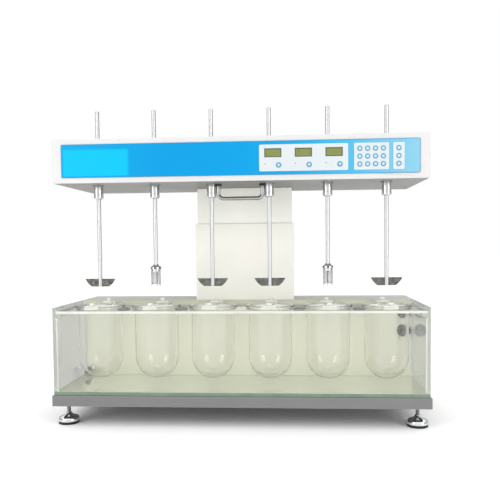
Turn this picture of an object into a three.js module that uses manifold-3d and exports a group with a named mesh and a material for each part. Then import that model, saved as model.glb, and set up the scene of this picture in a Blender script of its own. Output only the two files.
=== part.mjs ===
// Six-vessel tablet dissolution tester: a glass water bath with six vessels on a base tray, and a
// drive head that rides up and down on a telescopic column and turns four paddles and two baskets.
// Millimetres, +X to the operator's right, +Y to the back, +Z up. The origin is on the floor, under
// the middle of the base tray.
import * as THREE from 'three';
import { mergeVertices } from 'three/addons/utils/BufferGeometryUtils.js';
import Module from 'manifold-3d';

const wasm = await Module();
wasm.setup();

// Clearances
const seatGap = 0.3;              // between pieces that rest on or against each other
const runGap = 0.3;               // round a piece that turns or slides in another
const shaftHoleGap = 2.4;         // round a stirring shaft where it leaves the head cover
const edgeInset = 4;              // tank and rear housing stand back from the tray's edge

// Base tray and levelling feet
const baseWidth = 870;
const baseDepth = 334;
const baseHeight = 25;
const traySheet = 3;
const footHeight = 47;
const footRadius = 25;
const footSoleHeight = 6;
const footStemRadius = 4.5;
const footStemReach = 17;
const footInsetX = 27;
const footInsetY = 34;
const footBossRadius = 12;
const footNeckHeight = 18;        // dome and neck of a foot, above its sole
const footDomeDrop = 11;          // the dome has come in this far where its neck starts

// Water bath
const tankDepth = 200;
const tankHeight = 204;
const glassWall = 6;
const tankFloorThickness = 8;
const rearWallThickness = 5;
const plateThickness = 6;
const plateDrop = 8;              // the vessel plate lies this far below the bath's rim
const plateLedge = 9;
const ledgeMargin = 10;           // a ledge stops this far from the front and rear walls
const plateHoleRadius = 12;
const plateHoleForward = 42;

// Vessels
const vesselCount = 6;
const vesselPitch = 139;
const vesselRadius = 52.5;
const vesselWall = 2.3;
const vesselFlangeLip = 6.5;      // the flange stands out this far from the vessel's wall
const vesselFlangeHeight = 4.5;
const vesselHeight = 178;
const vesselHoleGap = 1.5;

// Rear housing and its fittings
const housingSheet = 2;
const panelMargin = 60;
const panelMarginZ = 24;
const portRadius = 13.5;
const portInset = 20;             // in from the bath's right-hand pane
const lowPortZ = 198;
const highPortZ = 245;
const portWall = 5;
const portReach = 9;              // ports stand out this far from the rear wall
const fittingLip = 2;             // a fitting's flange is this much larger than its bore hole
const fittingTail = 12;           // fittings reach this far into the housing
const nozzleRadius = 11;
const nozzleWall = 4;
const nozzleReach = 22;
const nozzleInset = 16;           // in from the bath's left-hand pane
const nozzleZ = 95;
const inletWidth = 30;
const inletHeight = 24;
const inletDepth = 22;
const inletRim = 4;               // wall round the inlet's socket
const inletFlangeX = 8;
const inletFlangeZ = 3;
const inletFlangeThickness = 2.2;
const inletX = -300;
const switchWidth = 22;
const switchHeight = 30;
const switchX = -240;
const switchPivotInset = 2;
const switchThrow = 16;           // degrees from off to on
const switchRise = 2.6;
const switchFace = 4;             // from the rocker's pivot out to the middle of its face
const mainsZ = 150;
const pumpRadius = 38;
const pumpHeight = 90;
const pumpBodyHeight = 30;
const pumpMotorInset = 10;
const pumpInset = 90;              // from the ports to the pump's middle
const heaterRadius = 22;
const heaterLength = 220;
const heaterNeck = 8;
const heaterLift = 8;
const heaterClear = 30;           // from the return nozzle to the heater's end
const saddleLength = 12;
const saddleWidth = 32;
const saddlePlaces = [40, 120];

// Telescopic column and lift
const columnWidth = 244;
const columnDepth = 102;
const columnWall = 3;
const sleeveWall = 2.5;
const sleeveClearance = 2.5;
const columnFront = 47;
const liftTravel = 92;
const columnOverlap = 170;
const collarHeight = 20;
const actuatorRadius = 24;
const actuatorHeight = 260;
const rodRadius = 10;
const actuatorNose = 8;           // wall round the rod at the actuator's mouth
const actuatorBase = 20;
const gearboxLength = 80;
const gearboxWidth = 40;
const gearboxHeight = 16;
const liftMotorRadius = 18;
const liftMotorX = 60;
const liftMotorHeight = 100;

// Drive head
const headWidth = 870;
const headDepth = 297;
const headHeight = 102;
const headUnderside = 565;
const headFrontInset = 33;        // head front face, back from the tray's front edge
const coverSheet = 2.5;
const chassisThickness = 4;
const boreRecess = 2;
const boreRecessRadius = 15.5;
const bearingRadius = 18;
const bearingTop = 64.7;          // above the head's underside
const handleWidth = 109;
const handleDrop = 35;
const handleRodRadius = 4.7;
const handleCornerRadius = 12;
const handleCollarRadius = 8;
const handleCollarHeight = 3;

// Spindles, shafts, paddles and baskets
const shaftRadius = 4.9;
const shaftLength = 427;
const shaftAboveHead = 79;
const spindleRadius = 9;
const chuckRadius = 11.5;
const chuckDrop = 33;
const pulleyRadius = 22;
const motorShaftRadius = 6;
const pulleyFlange = 2;
const beltWidth = 12;
const beltThickness = 1.5;
const motorSetback = 70;
const motorRadius = 32;
const paddleTopChord = 74.5;
const paddleBottomChord = 42;
const paddleHeight = 19;
const paddleThickness = 4;
const paddleSideRadius = 41.5;
const basketRadius = 11.1;
const basketHeight = 37;
const basketWall = 1;
const basketHubRadius = 12.7;
const basketDisc = 2;
const basketRise = 5;             // the basket's bottom is this far above the shaft's end
const basketPlug = 3;
const hubHeight = 10;
const basketPattern = [false, true, false, false, true, false];

// Control panel on the head's front face
const fasciaWidth = 825;
const fasciaHeight = 77;
const fasciaThickness = 1.5;
const insetThickness = 0.8;
const insetHeight = 60.5;
const boardThickness = 1.6;
const boardSetback = 3;
const insetZ = 50.5;              // middle of the three inset panels above the underside
const cornerRadius = 3;
const bezelX = 150.8;
const bezelWidth = 201.5;
const lcdPitch = 69.3;
const lcdX = 81.3;
const lcdWidth = 39;
const lcdHeight = 20.3;
const lcdZ = 62;
const buttonOffset = 13;          // right of the middle of each display
const buttonZ = 34.2;
const buttonRadius = 5.7;
const buttonProud = 1.6;
const keypadX = 303.7;
const keypadWidth = 78.4;
const keyColumns = 4;
const keyRows = 3;
const keyPitch = 17.5;
const keyRadius = 5.6;
const keyProud = 0.9;
const sideKeypadX = 364.5;
const sideKeypadWidth = 25.6;

// Places worked out from the sizes above
const baseTop = footHeight + baseHeight;
const baseFront = -baseDepth / 2;
const tankWidth = baseWidth - 2 * edgeInset;
const tankFront = baseFront + edgeInset - 1;
const tankRear = tankFront + tankDepth;
const tankBottom = baseTop + seatGap;
const wallBottom = tankBottom + tankFloorThickness + seatGap;
const rimTop = baseTop + tankHeight;
const plateTop = rimTop - plateDrop;
const innerHalfWidth = tankWidth / 2 - glassWall;
const portX = innerHalfWidth - portInset;
const nozzleX = -innerHalfWidth + nozzleInset;
const shaftLineY = tankFront + tankDepth / 2;
const vesselX = Array.from({ length: vesselCount }, (_, i) => (i - (vesselCount - 1) / 2) * vesselPitch);
const housingFront = tankRear + seatGap;
const housingRear = baseDepth / 2 - edgeInset - 1;
const sleeveWidth = columnWidth + 2 * (sleeveClearance + sleeveWall);
const sleeveDepth = columnDepth + 2 * (sleeveClearance + sleeveWall);
const columnMiddleY = columnFront + columnDepth / 2;
const sleeveTop = headUnderside - liftTravel - seatGap;
const headFront = baseFront + headFrontInset;
const headTop = headUnderside + headHeight;
const chassisTop = headUnderside + chassisThickness;
const pulleyBottom = headUnderside + bearingTop + seatGap;
const pulleyTop = pulleyBottom + 2 * pulleyFlange + beltWidth;
const spindleTop = headTop - coverSheet - 4;
const chuckBottom = headUnderside - chuckDrop;
const shaftTop = headTop + shaftAboveHead;
const shaftBottom = shaftTop - shaftLength;
const motorY = shaftLineY + motorSetback;
const insetMiddleZ = headUnderside + insetZ;
const fasciaBack = headFront - seatGap;
const insetBack = fasciaBack - fasciaThickness - seatGap;
const boardFront = headFront + coverSheet + boardSetback;

const material = (color, roughness, metalness, opacity = 1) => new THREE.MeshStandardMaterial({
  color,
  roughness,
  metalness,
  opacity,
  transparent: opacity < 1,
});

// Only positions, shared vertices, no zero-area slivers, faces pointing out.
function closed(geometry) {
  const bare = geometry.clone();
  bare.deleteAttribute('normal');
  bare.deleteAttribute('uv');
  const merged = mergeVertices(bare, 1e-4);
  const index = merged.index.array;
  const position = merged.attributes.position;
  const kept = [];
  let volume = 0;
  const [a, b, c] = [new THREE.Vector3(), new THREE.Vector3(), new THREE.Vector3()];
  for (let i = 0; i < index.length; i += 3) {
    const [p, q, r] = [index[i], index[i + 1], index[i + 2]];
    if (p === q || q === r || r === p) continue;
    kept.push(p, q, r);
    a.fromBufferAttribute(position, p);
    b.fromBufferAttribute(position, q);
    c.fromBufferAttribute(position, r);
    volume += a.dot(b.cross(c));
  }
  merged.setIndex(volume < 0 ? kept.reverse() : kept);
  return merged;
}

function solid(geometry) {
  const shape = closed(geometry);
  return new wasm.Manifold(new wasm.Mesh({
    numProp: 3,
    vertProperties: new Float32Array(shape.attributes.position.array),
    triVerts: new Uint32Array(shape.index.array),
  }));
}

function fromSolid(body) {
  const mesh = body.getMesh();
  const geometry = new THREE.BufferGeometry();
  geometry.setAttribute('position', new THREE.BufferAttribute(new Float32Array(mesh.vertProperties), 3));
  geometry.setIndex(Array.from(mesh.triVerts));
  return geometry;
}

function combine(first, added = [], removed = []) {
  let body = solid(first);
  for (const piece of added) body = body.add(solid(piece));
  for (const piece of removed) body = body.subtract(solid(piece));
  return fromSolid(body);
}

function block(x0, x1, y0, y1, z0, z1) {
  const geometry = new THREE.BoxGeometry(x1 - x0, y1 - y0, z1 - z0);
  return geometry.translate((x0 + x1) / 2, (y0 + y1) / 2, (z0 + z1) / 2);
}

// A closed outline of [radius, height] points turned about a vertical axis.
function turned(profile, segments, x = 0, y = 0) {
  const outline = profile.map(([r, h]) => new THREE.Vector2(r, h));
  const onAxis = profile[0][0] === 0 && profile[profile.length - 1][0] === 0;
  if (!onAxis) outline.push(outline[0].clone());
  return new THREE.LatheGeometry(outline, segments).rotateX(Math.PI / 2).translate(x, y, 0);
}

// The same outline turned about an axis along Y, its heights counted towards the back.
function turnedAlongY(profile, segments, x, z) {
  return turned(profile, segments).rotateX(-Math.PI / 2).translate(x, 0, z);
}

function disc(radius, z0, z1, segments, x, y) {
  return turned([[0, z0], [radius, z0], [radius, z1], [0, z1]], segments, x, y);
}

function discAlongY(radius, y0, y1, segments, x, z) {
  return turnedAlongY([[0, y0], [radius, y0], [radius, y1], [0, y1]], segments, x, z);
}

function rectangle(target, x, y, width, height, radius = 0) {
  const [x0, x1, y0, y1] = [x - width / 2, x + width / 2, y - height / 2, y + height / 2];
  if (radius === 0) {
    target.moveTo(x0, y0).lineTo(x1, y0).lineTo(x1, y1).lineTo(x0, y1).closePath();
    return target;
  }
  target.moveTo(x0 + radius, y0).lineTo(x1 - radius, y0);
  target.absarc(x1 - radius, y0 + radius, radius, -Math.PI / 2, 0);
  target.lineTo(x1, y1 - radius).absarc(x1 - radius, y1 - radius, radius, 0, Math.PI / 2);
  target.lineTo(x0 + radius, y1).absarc(x0 + radius, y1 - radius, radius, Math.PI / 2, Math.PI);
  target.lineTo(x0, y0 + radius).absarc(x0 + radius, y0 + radius, radius, Math.PI, 1.5 * Math.PI);
  return target;
}

function roundHole(x, y, radius) {
  const hole = new THREE.Path();
  hole.absarc(x, y, radius, 0, 2 * Math.PI);
  return hole;
}

// A flat piece: its outline seen from above, from z0 up by its thickness.
function sheet(outline, z0, thickness, curveSegments = 4) {
  const options = { depth: thickness, bevelEnabled: false, curveSegments };
  return new THREE.ExtrudeGeometry(outline, options).translate(0, 0, z0);
}

// A panel that faces the operator: its outline seen from the front, from its back face forward.
function frontPanel(outline, back, thickness, curveSegments = 4) {
  const options = { depth: thickness, bevelEnabled: false, curveSegments };
  return new THREE.ExtrudeGeometry(outline, options).rotateX(Math.PI / 2).translate(0, back, 0);
}

const model = new THREE.Group();

function add(name, geometry, finish) {
  const mesh = new THREE.Mesh(closed(geometry), finish);
  mesh.name = name;
  model.add(mesh);
}

const footPlaces = [-1, 1].flatMap((sy) => [-1, 1].map((sx) => [
  sx * (baseWidth / 2 - footInsetX),
  sy * (baseDepth / 2 - footInsetY),
]));

// Base tray: folded sheet, open below, with a threaded boss for each foot.
function baseTray() {
  const half = baseWidth / 2;
  const outer = block(-half, half, baseFront, -baseFront, footHeight, baseTop);
  const inner = block(-half + traySheet, half - traySheet, baseFront + traySheet, -baseFront - traySheet,
    footHeight - 1, baseTop - traySheet);
  const hollow = fromSolid(solid(outer).subtract(solid(inner)));
  const bosses = footPlaces.map(([x, y]) => disc(footBossRadius, footHeight, baseTop - 1, 12, x, y));
  const bores = footPlaces.map(([x, y]) => disc(footStemRadius + 2 * runGap, footHeight - 1,
    footHeight + footStemReach + 2, 12, x, y));
  add('base_tray', combine(hollow, bosses, bores), material(0x8e8e8e, 0.5, 0.4));
}

// Levelling foot: rubber sole, chromed dome and threaded stem that screws into the tray's boss.
function levellingFeet() {
  const names = ['front_left', 'front_right', 'rear_left', 'rear_right'];
  const finish = material(0xc8c8c8, 0.25, 0.9);
  footPlaces.forEach(([x, y], i) => {
    const profile = [
      [0, 0],
      [footRadius - 2, 0],
      [footRadius - 1.5, footSoleHeight],
      [footRadius, footSoleHeight + 0.5],
      [footRadius - 1, footSoleHeight + 3],
      [footRadius - footDomeDrop, footSoleHeight + 8],
      [footStemRadius + 3, footSoleHeight + 12],
      [footStemRadius, footSoleHeight + footNeckHeight],
      [footStemRadius, footHeight + footStemReach],
      [0, footHeight + footStemReach],
    ];
    add(`foot_${names[i]}`, turned(profile, 16, x, y), finish.clone());
  });
}

// Bath: front and side panes bonded in a U, with a ledge inside each side for the vessel plate.
function bath() {
  const half = tankWidth / 2;
  const clear = material(0xdfe8e2, 0.05, 0, 0.3);
  const pane = new THREE.Shape();
  pane.moveTo(-half, tankFront).lineTo(half, tankFront).lineTo(half, tankRear);
  pane.lineTo(half - glassWall, tankRear).lineTo(half - glassWall, tankFront + glassWall);
  pane.lineTo(-half + glassWall, tankFront + glassWall).lineTo(-half + glassWall, tankRear);
  pane.lineTo(-half, tankRear).closePath();
  const walls = sheet(pane, wallBottom, rimTop - wallBottom);
  const ledgeTop = plateTop - plateThickness - seatGap;
  const ledges = [-1, 1].map((side) => {
    const edges = [side * (innerHalfWidth + 1), side * (innerHalfWidth - plateLedge)].sort((a, b) => a - b);
    return block(...edges, tankFront + glassWall + ledgeMargin, tankRear - rearWallThickness - ledgeMargin,
      ledgeTop - plateLedge, ledgeTop);
  });
  add('bath_glass', combine(walls, ledges), clear);
  add('bath_floor', block(-half, half, tankFront, tankRear, tankBottom, tankBottom + tankFloorThickness),
    material(0xa9c4ad, 0.1, 0, 0.5));
  const rear = frontPanel(rectangle(new THREE.Shape(), 0, (wallBottom + rimTop) / 2,
    2 * (innerHalfWidth - seatGap), rimTop - wallBottom), tankRear, rearWallThickness);
  add('bath_rear_wall', combine(rear, [], fittingHoles(tankRear)), material(0xe3e0cd, 0.5, 0));
}

// The holes that the bath's fittings pass through, in the rear wall and in the housing behind it.
function fittingHoles(wallY) {
  const reach = rearWallThickness + housingSheet + 2;
  return [[portX, lowPortZ, portRadius], [portX, highPortZ, portRadius], [nozzleX, nozzleZ, nozzleRadius]]
    .map(([x, z, radius]) => discAlongY(radius + seatGap, wallY - reach, wallY + reach, 20, x, z));
}

// Vessel plate: clear sheet with a hole for each vessel and a small one between outer neighbours.
function vesselPlate() {
  const front = tankFront + glassWall + seatGap;
  const rear = tankRear - rearWallThickness - seatGap;
  const outline = rectangle(new THREE.Shape(), 0, (front + rear) / 2,
    2 * (innerHalfWidth - seatGap), rear - front);
  for (const x of vesselX) outline.holes.push(roundHole(x, shaftLineY, vesselRadius + vesselHoleGap));
  for (const x of vesselX.slice(1)) {
    const middle = x - vesselPitch / 2;
    if (Math.abs(middle) < 1) continue;
    outline.holes.push(roundHole(middle, shaftLineY - plateHoleForward, plateHoleRadius));
  }
  add('vessel_plate', sheet(outline, plateTop - plateThickness, plateThickness, 8),
    material(0xeaf1ea, 0.05, 0, 0.35));
}

// Vessel: one-litre round-bottomed glass with a flange that rests on the plate.
function vessels() {
  const finish = material(0xf2f6f4, 0.03, 0, 0.25);
  const flangeBottom = plateTop + seatGap;
  const flangeTop = flangeBottom + vesselFlangeHeight;
  const centre = flangeTop - vesselHeight + vesselRadius;
  const steps = 4;
  const inner = vesselRadius - vesselWall;
  const flangeRadius = vesselRadius + vesselFlangeLip;
  const profile = [];
  for (let i = 0; i <= steps; i += 1) {
    const angle = -Math.PI / 2 + (i / steps) * (Math.PI / 2);
    profile.push([i === 0 ? 0 : vesselRadius * Math.cos(angle), centre + vesselRadius * Math.sin(angle)]);
  }
  profile.push([vesselRadius, flangeBottom], [flangeRadius, flangeBottom]);
  profile.push([flangeRadius, flangeTop], [inner, flangeTop]);
  for (let i = steps; i >= 0; i -= 1) {
    const angle = -Math.PI / 2 + (i / steps) * (Math.PI / 2);
    profile.push([i === 0 ? 0 : inner * Math.cos(angle), centre + inner * Math.sin(angle)]);
  }
  vesselX.forEach((x, i) => add(`vessel_${i + 1}`, turned(profile, 20, x, shaftLineY), finish.clone()));
}

// Rear housing: sheet cover behind the bath for the heater, the pump and the foot of the column.
function rearHousing() {
  const half = tankWidth / 2;
  const outer = block(-half, half, housingFront, housingRear, tankBottom, rimTop);
  const inner = block(-half + housingSheet, half - housingSheet, housingFront + housingSheet,
    housingRear - housingSheet, tankBottom - 1, rimTop - housingSheet);
  const columnHole = block(-sleeveWidth / 2 - seatGap, sleeveWidth / 2 + seatGap,
    columnMiddleY - sleeveDepth / 2 - seatGap, columnMiddleY + sleeveDepth / 2 + seatGap,
    rimTop - housingSheet - 1, rimTop + 1);
  const [x0, x1] = [-half + panelMargin, half - panelMargin];
  const [z0, z1] = [tankBottom + panelMarginZ, rimTop - panelMarginZ];
  const accessHole = block(x0, x1, housingRear - housingSheet - 1, housingRear + 1, z0, z1);
  add('rear_housing', combine(outer, [], [inner, columnHole, accessHole, ...fittingHoles(housingFront)]),
    material(0xb9bab2, 0.5, 0.2));

  const panel = rectangle(new THREE.Shape(), 0, (z0 + z1) / 2, x1 - x0 - 2 * seatGap, z1 - z0 - 2 * seatGap);
  panel.holes.push(rectangle(new THREE.Path(), inletX, mainsZ, inletWidth, inletHeight));
  panel.holes.push(rectangle(new THREE.Path(), switchX, mainsZ, switchWidth, switchHeight));
  add('rear_panel', frontPanel(panel, housingRear, housingSheet), material(0xb9bab2, 0.5, 0.2));
}

// Mains inlet and rocker switch in the rear panel.
function mainsFittings() {
  const black = material(0x1c1c1e, 0.4, 0);
  const [w, h] = [inletWidth / 2 - seatGap, inletHeight / 2 - seatGap];
  const body = block(inletX - w, inletX + w, housingRear - inletDepth, housingRear + 1,
    mainsZ - h, mainsZ + h);
  const flange = block(inletX - w - inletFlangeX, inletX + w + inletFlangeX, housingRear + seatGap,
    housingRear + seatGap + inletFlangeThickness, mainsZ - h - inletFlangeZ, mainsZ + h + inletFlangeZ);
  const socket = block(inletX - w + inletRim, inletX + w - inletRim, housingRear - inletDepth + inletRim,
    housingRear + seatGap + inletFlangeThickness + 1, mainsZ - h + inletRim, mainsZ + h - inletRim);
  add('mains_inlet', combine(body, [flange], [socket]), black);

  // The rocker is a bar along X whose ends stand up; it rests tipped to its off side.
  const [width, half] = [switchWidth - 4 * seatGap, switchHeight / 2 - 5 * seatGap];
  const rocker = new THREE.Shape();
  rocker.moveTo(half - 1, -4).lineTo(half, 2).lineTo(half, switchFace + switchRise).lineTo(0, switchFace);
  rocker.lineTo(-half, switchFace + switchRise).lineTo(-half, 2).lineTo(-half + 1, -4).closePath();
  const bar = new THREE.ExtrudeGeometry(rocker, { depth: width, bevelEnabled: false });
  bar.translate(0, 0, -width / 2).rotateY(Math.PI / 2);
  bar.rotateX(THREE.MathUtils.degToRad(-switchThrow / 2));
  add('mains_switch', bar.translate(switchX, housingRear - switchPivotInset, mainsZ), black.clone());
}

// Heater tube, circulation pump and the fittings between them and the bath.
function waterCircuit() {
  const rubber = material(0x202022, 0.6, 0);
  const steel = material(0xb8b8b8, 0.3, 0.9);
  const bathFace = tankRear - rearWallThickness;
  const tailEnd = housingFront + housingSheet + fittingTail;
  const port = [
    [portRadius - portWall, bathFace - portReach],
    [portRadius - 1, bathFace - portReach],
    [portRadius + fittingLip, bathFace - portReach + 3],
    [portRadius + fittingLip, bathFace - seatGap],
    [portRadius, bathFace - seatGap],
    [portRadius, tailEnd],
    [portRadius - portWall, tailEnd],
  ];
  add('lower_port', turnedAlongY(port, 20, portX, lowPortZ), rubber);
  add('upper_port', turnedAlongY(port, 20, portX, highPortZ), rubber.clone());
  const nozzle = [
    [nozzleRadius - nozzleWall, bathFace - nozzleReach],
    [nozzleRadius - 2, bathFace - nozzleReach],
    [nozzleRadius - 1, bathFace - 10],
    [nozzleRadius + 1.5, bathFace - 9],
    [nozzleRadius + 1.5, bathFace - seatGap],
    [nozzleRadius, bathFace - seatGap],
    [nozzleRadius, tailEnd],
    [nozzleRadius - nozzleWall, tailEnd],
  ];
  add('return_nozzle', turnedAlongY(nozzle, 20, nozzleX, nozzleZ), steel);

  const pumpY = (housingFront + housingRear) / 2;
  const pumpX = portX - pumpInset;
  const motorTop = tankBottom + pumpHeight;
  const pump = turned([
    [0, tankBottom],
    [pumpRadius, tankBottom],
    [pumpRadius, tankBottom + pumpBodyHeight],
    [pumpRadius - pumpMotorInset, tankBottom + pumpBodyHeight + 4],
    [pumpRadius - pumpMotorInset, motorTop],
    [0, motorTop],
  ], 20, pumpX, pumpY);
  add('circulation_pump', pump, material(0x3c4046, 0.5, 0.2));

  const heaterStart = nozzleX + heaterClear;
  const heater = turned([
    [0, 0],
    [heaterRadius, 0],
    [heaterRadius, heaterLength - 20],
    [heaterRadius - heaterNeck, heaterLength - 8],
    [heaterRadius - heaterNeck, heaterLength],
    [0, heaterLength],
  ], 16).rotateY(Math.PI / 2);
  const heaterZ = tankBottom + heaterRadius + heaterLift;
  const saddle = (along) => block(heaterStart + along - saddleLength / 2,
    heaterStart + along + saddleLength / 2, pumpY - saddleWidth / 2, pumpY + saddleWidth / 2,
    tankBottom, heaterZ);
  add('heater_tube', combine(heater.translate(heaterStart, pumpY, heaterZ),
    saddlePlaces.map(saddle)), steel.clone());
}

// Column: a fixed sleeve on the tray, a guide collar in its mouth, and the inner column that slides.
function column() {
  const cream = material(0xe9e9df, 0.5, 0.1);
  const tube = (width, depth, wall, z0, z1) => {
    const outline = rectangle(new THREE.Shape(), 0, columnMiddleY, width, depth);
    outline.holes.push(rectangle(new THREE.Path(), 0, columnMiddleY, width - 2 * wall, depth - 2 * wall));
    return sheet(outline, z0, z1 - z0);
  };
  add('column_sleeve', tube(sleeveWidth, sleeveDepth, sleeveWall, tankBottom, sleeveTop), cream);
  const fit = sleeveClearance - seatGap;
  add('guide_collar', tube(columnWidth + 2 * fit, columnDepth + 2 * fit, fit - runGap,
    sleeveTop - collarHeight, sleeveTop - 1), material(0x303236, 0.6, 0));
  add('column_inner', tube(columnWidth, columnDepth, columnWall, sleeveTop - columnOverlap,
    headUnderside - seatGap), cream.clone());
}

// Lift: an electric actuator standing on the tray inside the column, and its push rod.
function lift() {
  const bore = rodRadius + 2 * runGap;
  const top = tankBottom + actuatorHeight;
  const floor = tankBottom + actuatorBase;
  const actuator = turned([
    [0, tankBottom],
    [actuatorRadius, tankBottom],
    [actuatorRadius, top - 20],
    [rodRadius + actuatorNose, top - 16],
    [rodRadius + actuatorNose, top],
    [bore, top],
    [bore, floor],
    [0, floor],
  ], 16, 0, columnMiddleY);
  const gearbox = block(0, gearboxLength, columnMiddleY - gearboxWidth / 2, columnMiddleY + gearboxWidth / 2,
    tankBottom, tankBottom + gearboxHeight);
  const motorBody = disc(liftMotorRadius, tankBottom + 10, tankBottom + 10 + liftMotorHeight, 16,
    liftMotorX, columnMiddleY);
  add('lift_actuator', combine(actuator, [gearbox, motorBody]), material(0x2b2d30, 0.5, 0.3));
  add('lift_rod', disc(rodRadius, floor + liftTravel + 20, headUnderside - seatGap, 16, 0, columnMiddleY),
    material(0xc9c9c9, 0.2, 1));
}

// Head chassis: the plate that closes the head from below, with six bearing housings.
function headChassis() {
  const gap = coverSheet + seatGap;
  const outline = rectangle(new THREE.Shape(), 0, headFront + headDepth / 2,
    headWidth - 2 * gap, headDepth - 2 * gap);
  for (const x of vesselX) outline.holes.push(roundHole(x, shaftLineY, boreRecessRadius));
  const bore = spindleRadius + 2 * runGap;
  const housing = (x) => turned([
    [bore, headUnderside + boreRecess],
    [bearingRadius, headUnderside + boreRecess],
    [bearingRadius, headUnderside + bearingTop],
    [bore, headUnderside + bearingTop],
  ], 12, x, shaftLineY);
  add('head_chassis', combine(sheet(outline, headUnderside, chassisThickness, 6), vesselX.map(housing)),
    material(0x979792, 0.6, 0.3));
}

// Head cover: sheet shell, open below, cut for the shafts, the displays and the display buttons.
function headCover() {
  const half = headWidth / 2;
  const outer = block(-half, half, headFront, headFront + headDepth, headUnderside, headTop);
  const inner = block(-half + coverSheet, half - coverSheet, headFront + coverSheet,
    headFront + headDepth - coverSheet, headUnderside - 1, headTop - coverSheet);
  const shaftHoles = vesselX.map((x) => disc(shaftRadius + shaftHoleGap, headTop - coverSheet - 1,
    headTop + 1, 16, x, shaftLineY));
  add('head_cover', combine(outer, [], [inner, ...shaftHoles, ...displayCuts(headFront - 1, boardFront)]),
    material(0xf6f5f1, 0.4, 0.1));
}

const displayX = [0, 1, 2].map((i) => lcdX + i * lcdPitch);

function displayCuts(y0, y1) {
  const windows = displayX.map((x) => block(x - lcdWidth / 2, x + lcdWidth / 2, y0, y1,
    headUnderside + lcdZ - lcdHeight / 2, headUnderside + lcdZ + lcdHeight / 2));
  const holes = displayX.map((x) => discAlongY(buttonRadius + runGap, y0, y1, 12,
    x + buttonOffset, headUnderside + buttonZ));
  return [...windows, ...holes];
}

// Control panel: blue fascia, white inset panels, displays on their board and three push buttons.
function controlPanel() {
  const white = material(0xe7ecea, 0.4, 0);
  const fascia = frontPanel(rectangle(new THREE.Shape(), 0, headUnderside + headHeight / 2,
    fasciaWidth, fasciaHeight, cornerRadius), fasciaBack, fasciaThickness);
  add('panel_fascia', combine(fascia, [], displayCuts(fasciaBack - 5, fasciaBack + 5)),
    material(0x12a4ea, 0.35, 0));

  const inset = (x, width) => frontPanel(rectangle(new THREE.Shape(), x, insetMiddleZ,
    width, insetHeight, cornerRadius), insetBack, insetThickness);
  add('display_bezel', combine(inset(bezelX, bezelWidth), [], displayCuts(insetBack - 5, insetBack + 5)),
    white);

  const key = (x, row) => discAlongY(keyRadius, insetBack - insetThickness - keyProud, insetBack - 0.4, 8,
    x, insetMiddleZ + ((keyRows - 1) / 2 - row) * keyPitch);
  const rows = Array.from({ length: keyRows }, (_, row) => row);
  const columnX = (i) => keypadX + (i - (keyColumns - 1) / 2) * keyPitch;
  const columns = Array.from({ length: keyColumns }, (_, i) => columnX(i));
  const mainKeys = columns.flatMap((x) => rows.map((row) => key(x, row)));
  add('main_keypad', combine(inset(keypadX, keypadWidth), mainKeys), white.clone());
  add('side_keypad', combine(inset(sideKeypadX, sideKeypadWidth), rows.map((row) => key(sideKeypadX, row))),
    white.clone());

  const board = new THREE.Shape();
  rectangle(board, bezelX, insetMiddleZ, bezelWidth, insetHeight);
  add('display_board', frontPanel(board, boardFront + boardThickness, boardThickness),
    material(0x1d5a34, 0.6, 0));
  const [w, h] = [lcdWidth / 2 - seatGap, lcdHeight / 2 - seatGap];
  displayX.forEach((x, i) => {
    const z = headUnderside + lcdZ;
    add(`lcd_${i + 1}`, block(x - w, x + w, insetBack - 0.2, boardFront - seatGap, z - h, z + h),
      material(0x8e9a50, 0.3, 0));
  });
  const front = insetBack - insetThickness - buttonProud;
  const profile = [
    [0, front],
    [buttonRadius - 1, front],
    [buttonRadius, front + 0.8],
    [buttonRadius, headFront + coverSheet + 1],
    [0, headFront + coverSheet + 1],
  ];
  displayX.forEach((x, i) => {
    add(`display_button_${i + 1}`, turnedAlongY(profile, 12, x + buttonOffset, headUnderside + buttonZ),
      material(0x1d8fd0, 0.35, 0));
  });
}

// Pull handle under the head: a chromed rod bent to a U, with a collar at each end.
function handle() {
  const top = headUnderside - seatGap;
  const half = handleWidth / 2 - handleRodRadius;
  const low = headUnderside - handleDrop;
  const r = handleCornerRadius;
  const route = new THREE.CurvePath();
  const at = (x, z) => new THREE.Vector3(x, shaftLineY, z);
  route.add(new THREE.LineCurve3(at(-half, top), at(-half, low + r)));
  route.add(new THREE.QuadraticBezierCurve3(at(-half, low + r), at(-half, low), at(-half + r, low)));
  route.add(new THREE.LineCurve3(at(-half + r, low), at(half - r, low)));
  route.add(new THREE.QuadraticBezierCurve3(at(half - r, low), at(half, low), at(half, low + r)));
  route.add(new THREE.LineCurve3(at(half, low + r), at(half, top)));
  const section = new THREE.Shape();
  section.absarc(0, 0, handleRodRadius, 0, 2 * Math.PI);
  const rod = new THREE.ExtrudeGeometry(section, {
    steps: 24,
    curveSegments: 4,
    bevelEnabled: false,
    extrudePath: route,
  });
  const collars = [-half, half].map((x) => disc(handleCollarRadius, top - handleCollarHeight, top, 16,
    x, shaftLineY));
  add('lift_handle', combine(rod, collars), material(0xc4c4c4, 0.15, 1));
}

// The outline of a flat belt at a given distance outside a convex ring of equal pulleys.
function beltOutline(target, centres, radius) {
  centres.forEach(([x, y], i) => {
    const before = centres[(i + centres.length - 1) % centres.length];
    const after = centres[(i + 1) % centres.length];
    const start = Math.atan2(y - before[1], x - before[0]) - Math.PI / 2;
    let end = Math.atan2(after[1] - y, after[0] - x) - Math.PI / 2;
    while (end < start) end += 2 * Math.PI;
    target.absarc(x, y, radius, start, end);
  });
  target.closePath();
  return target;
}

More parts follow.
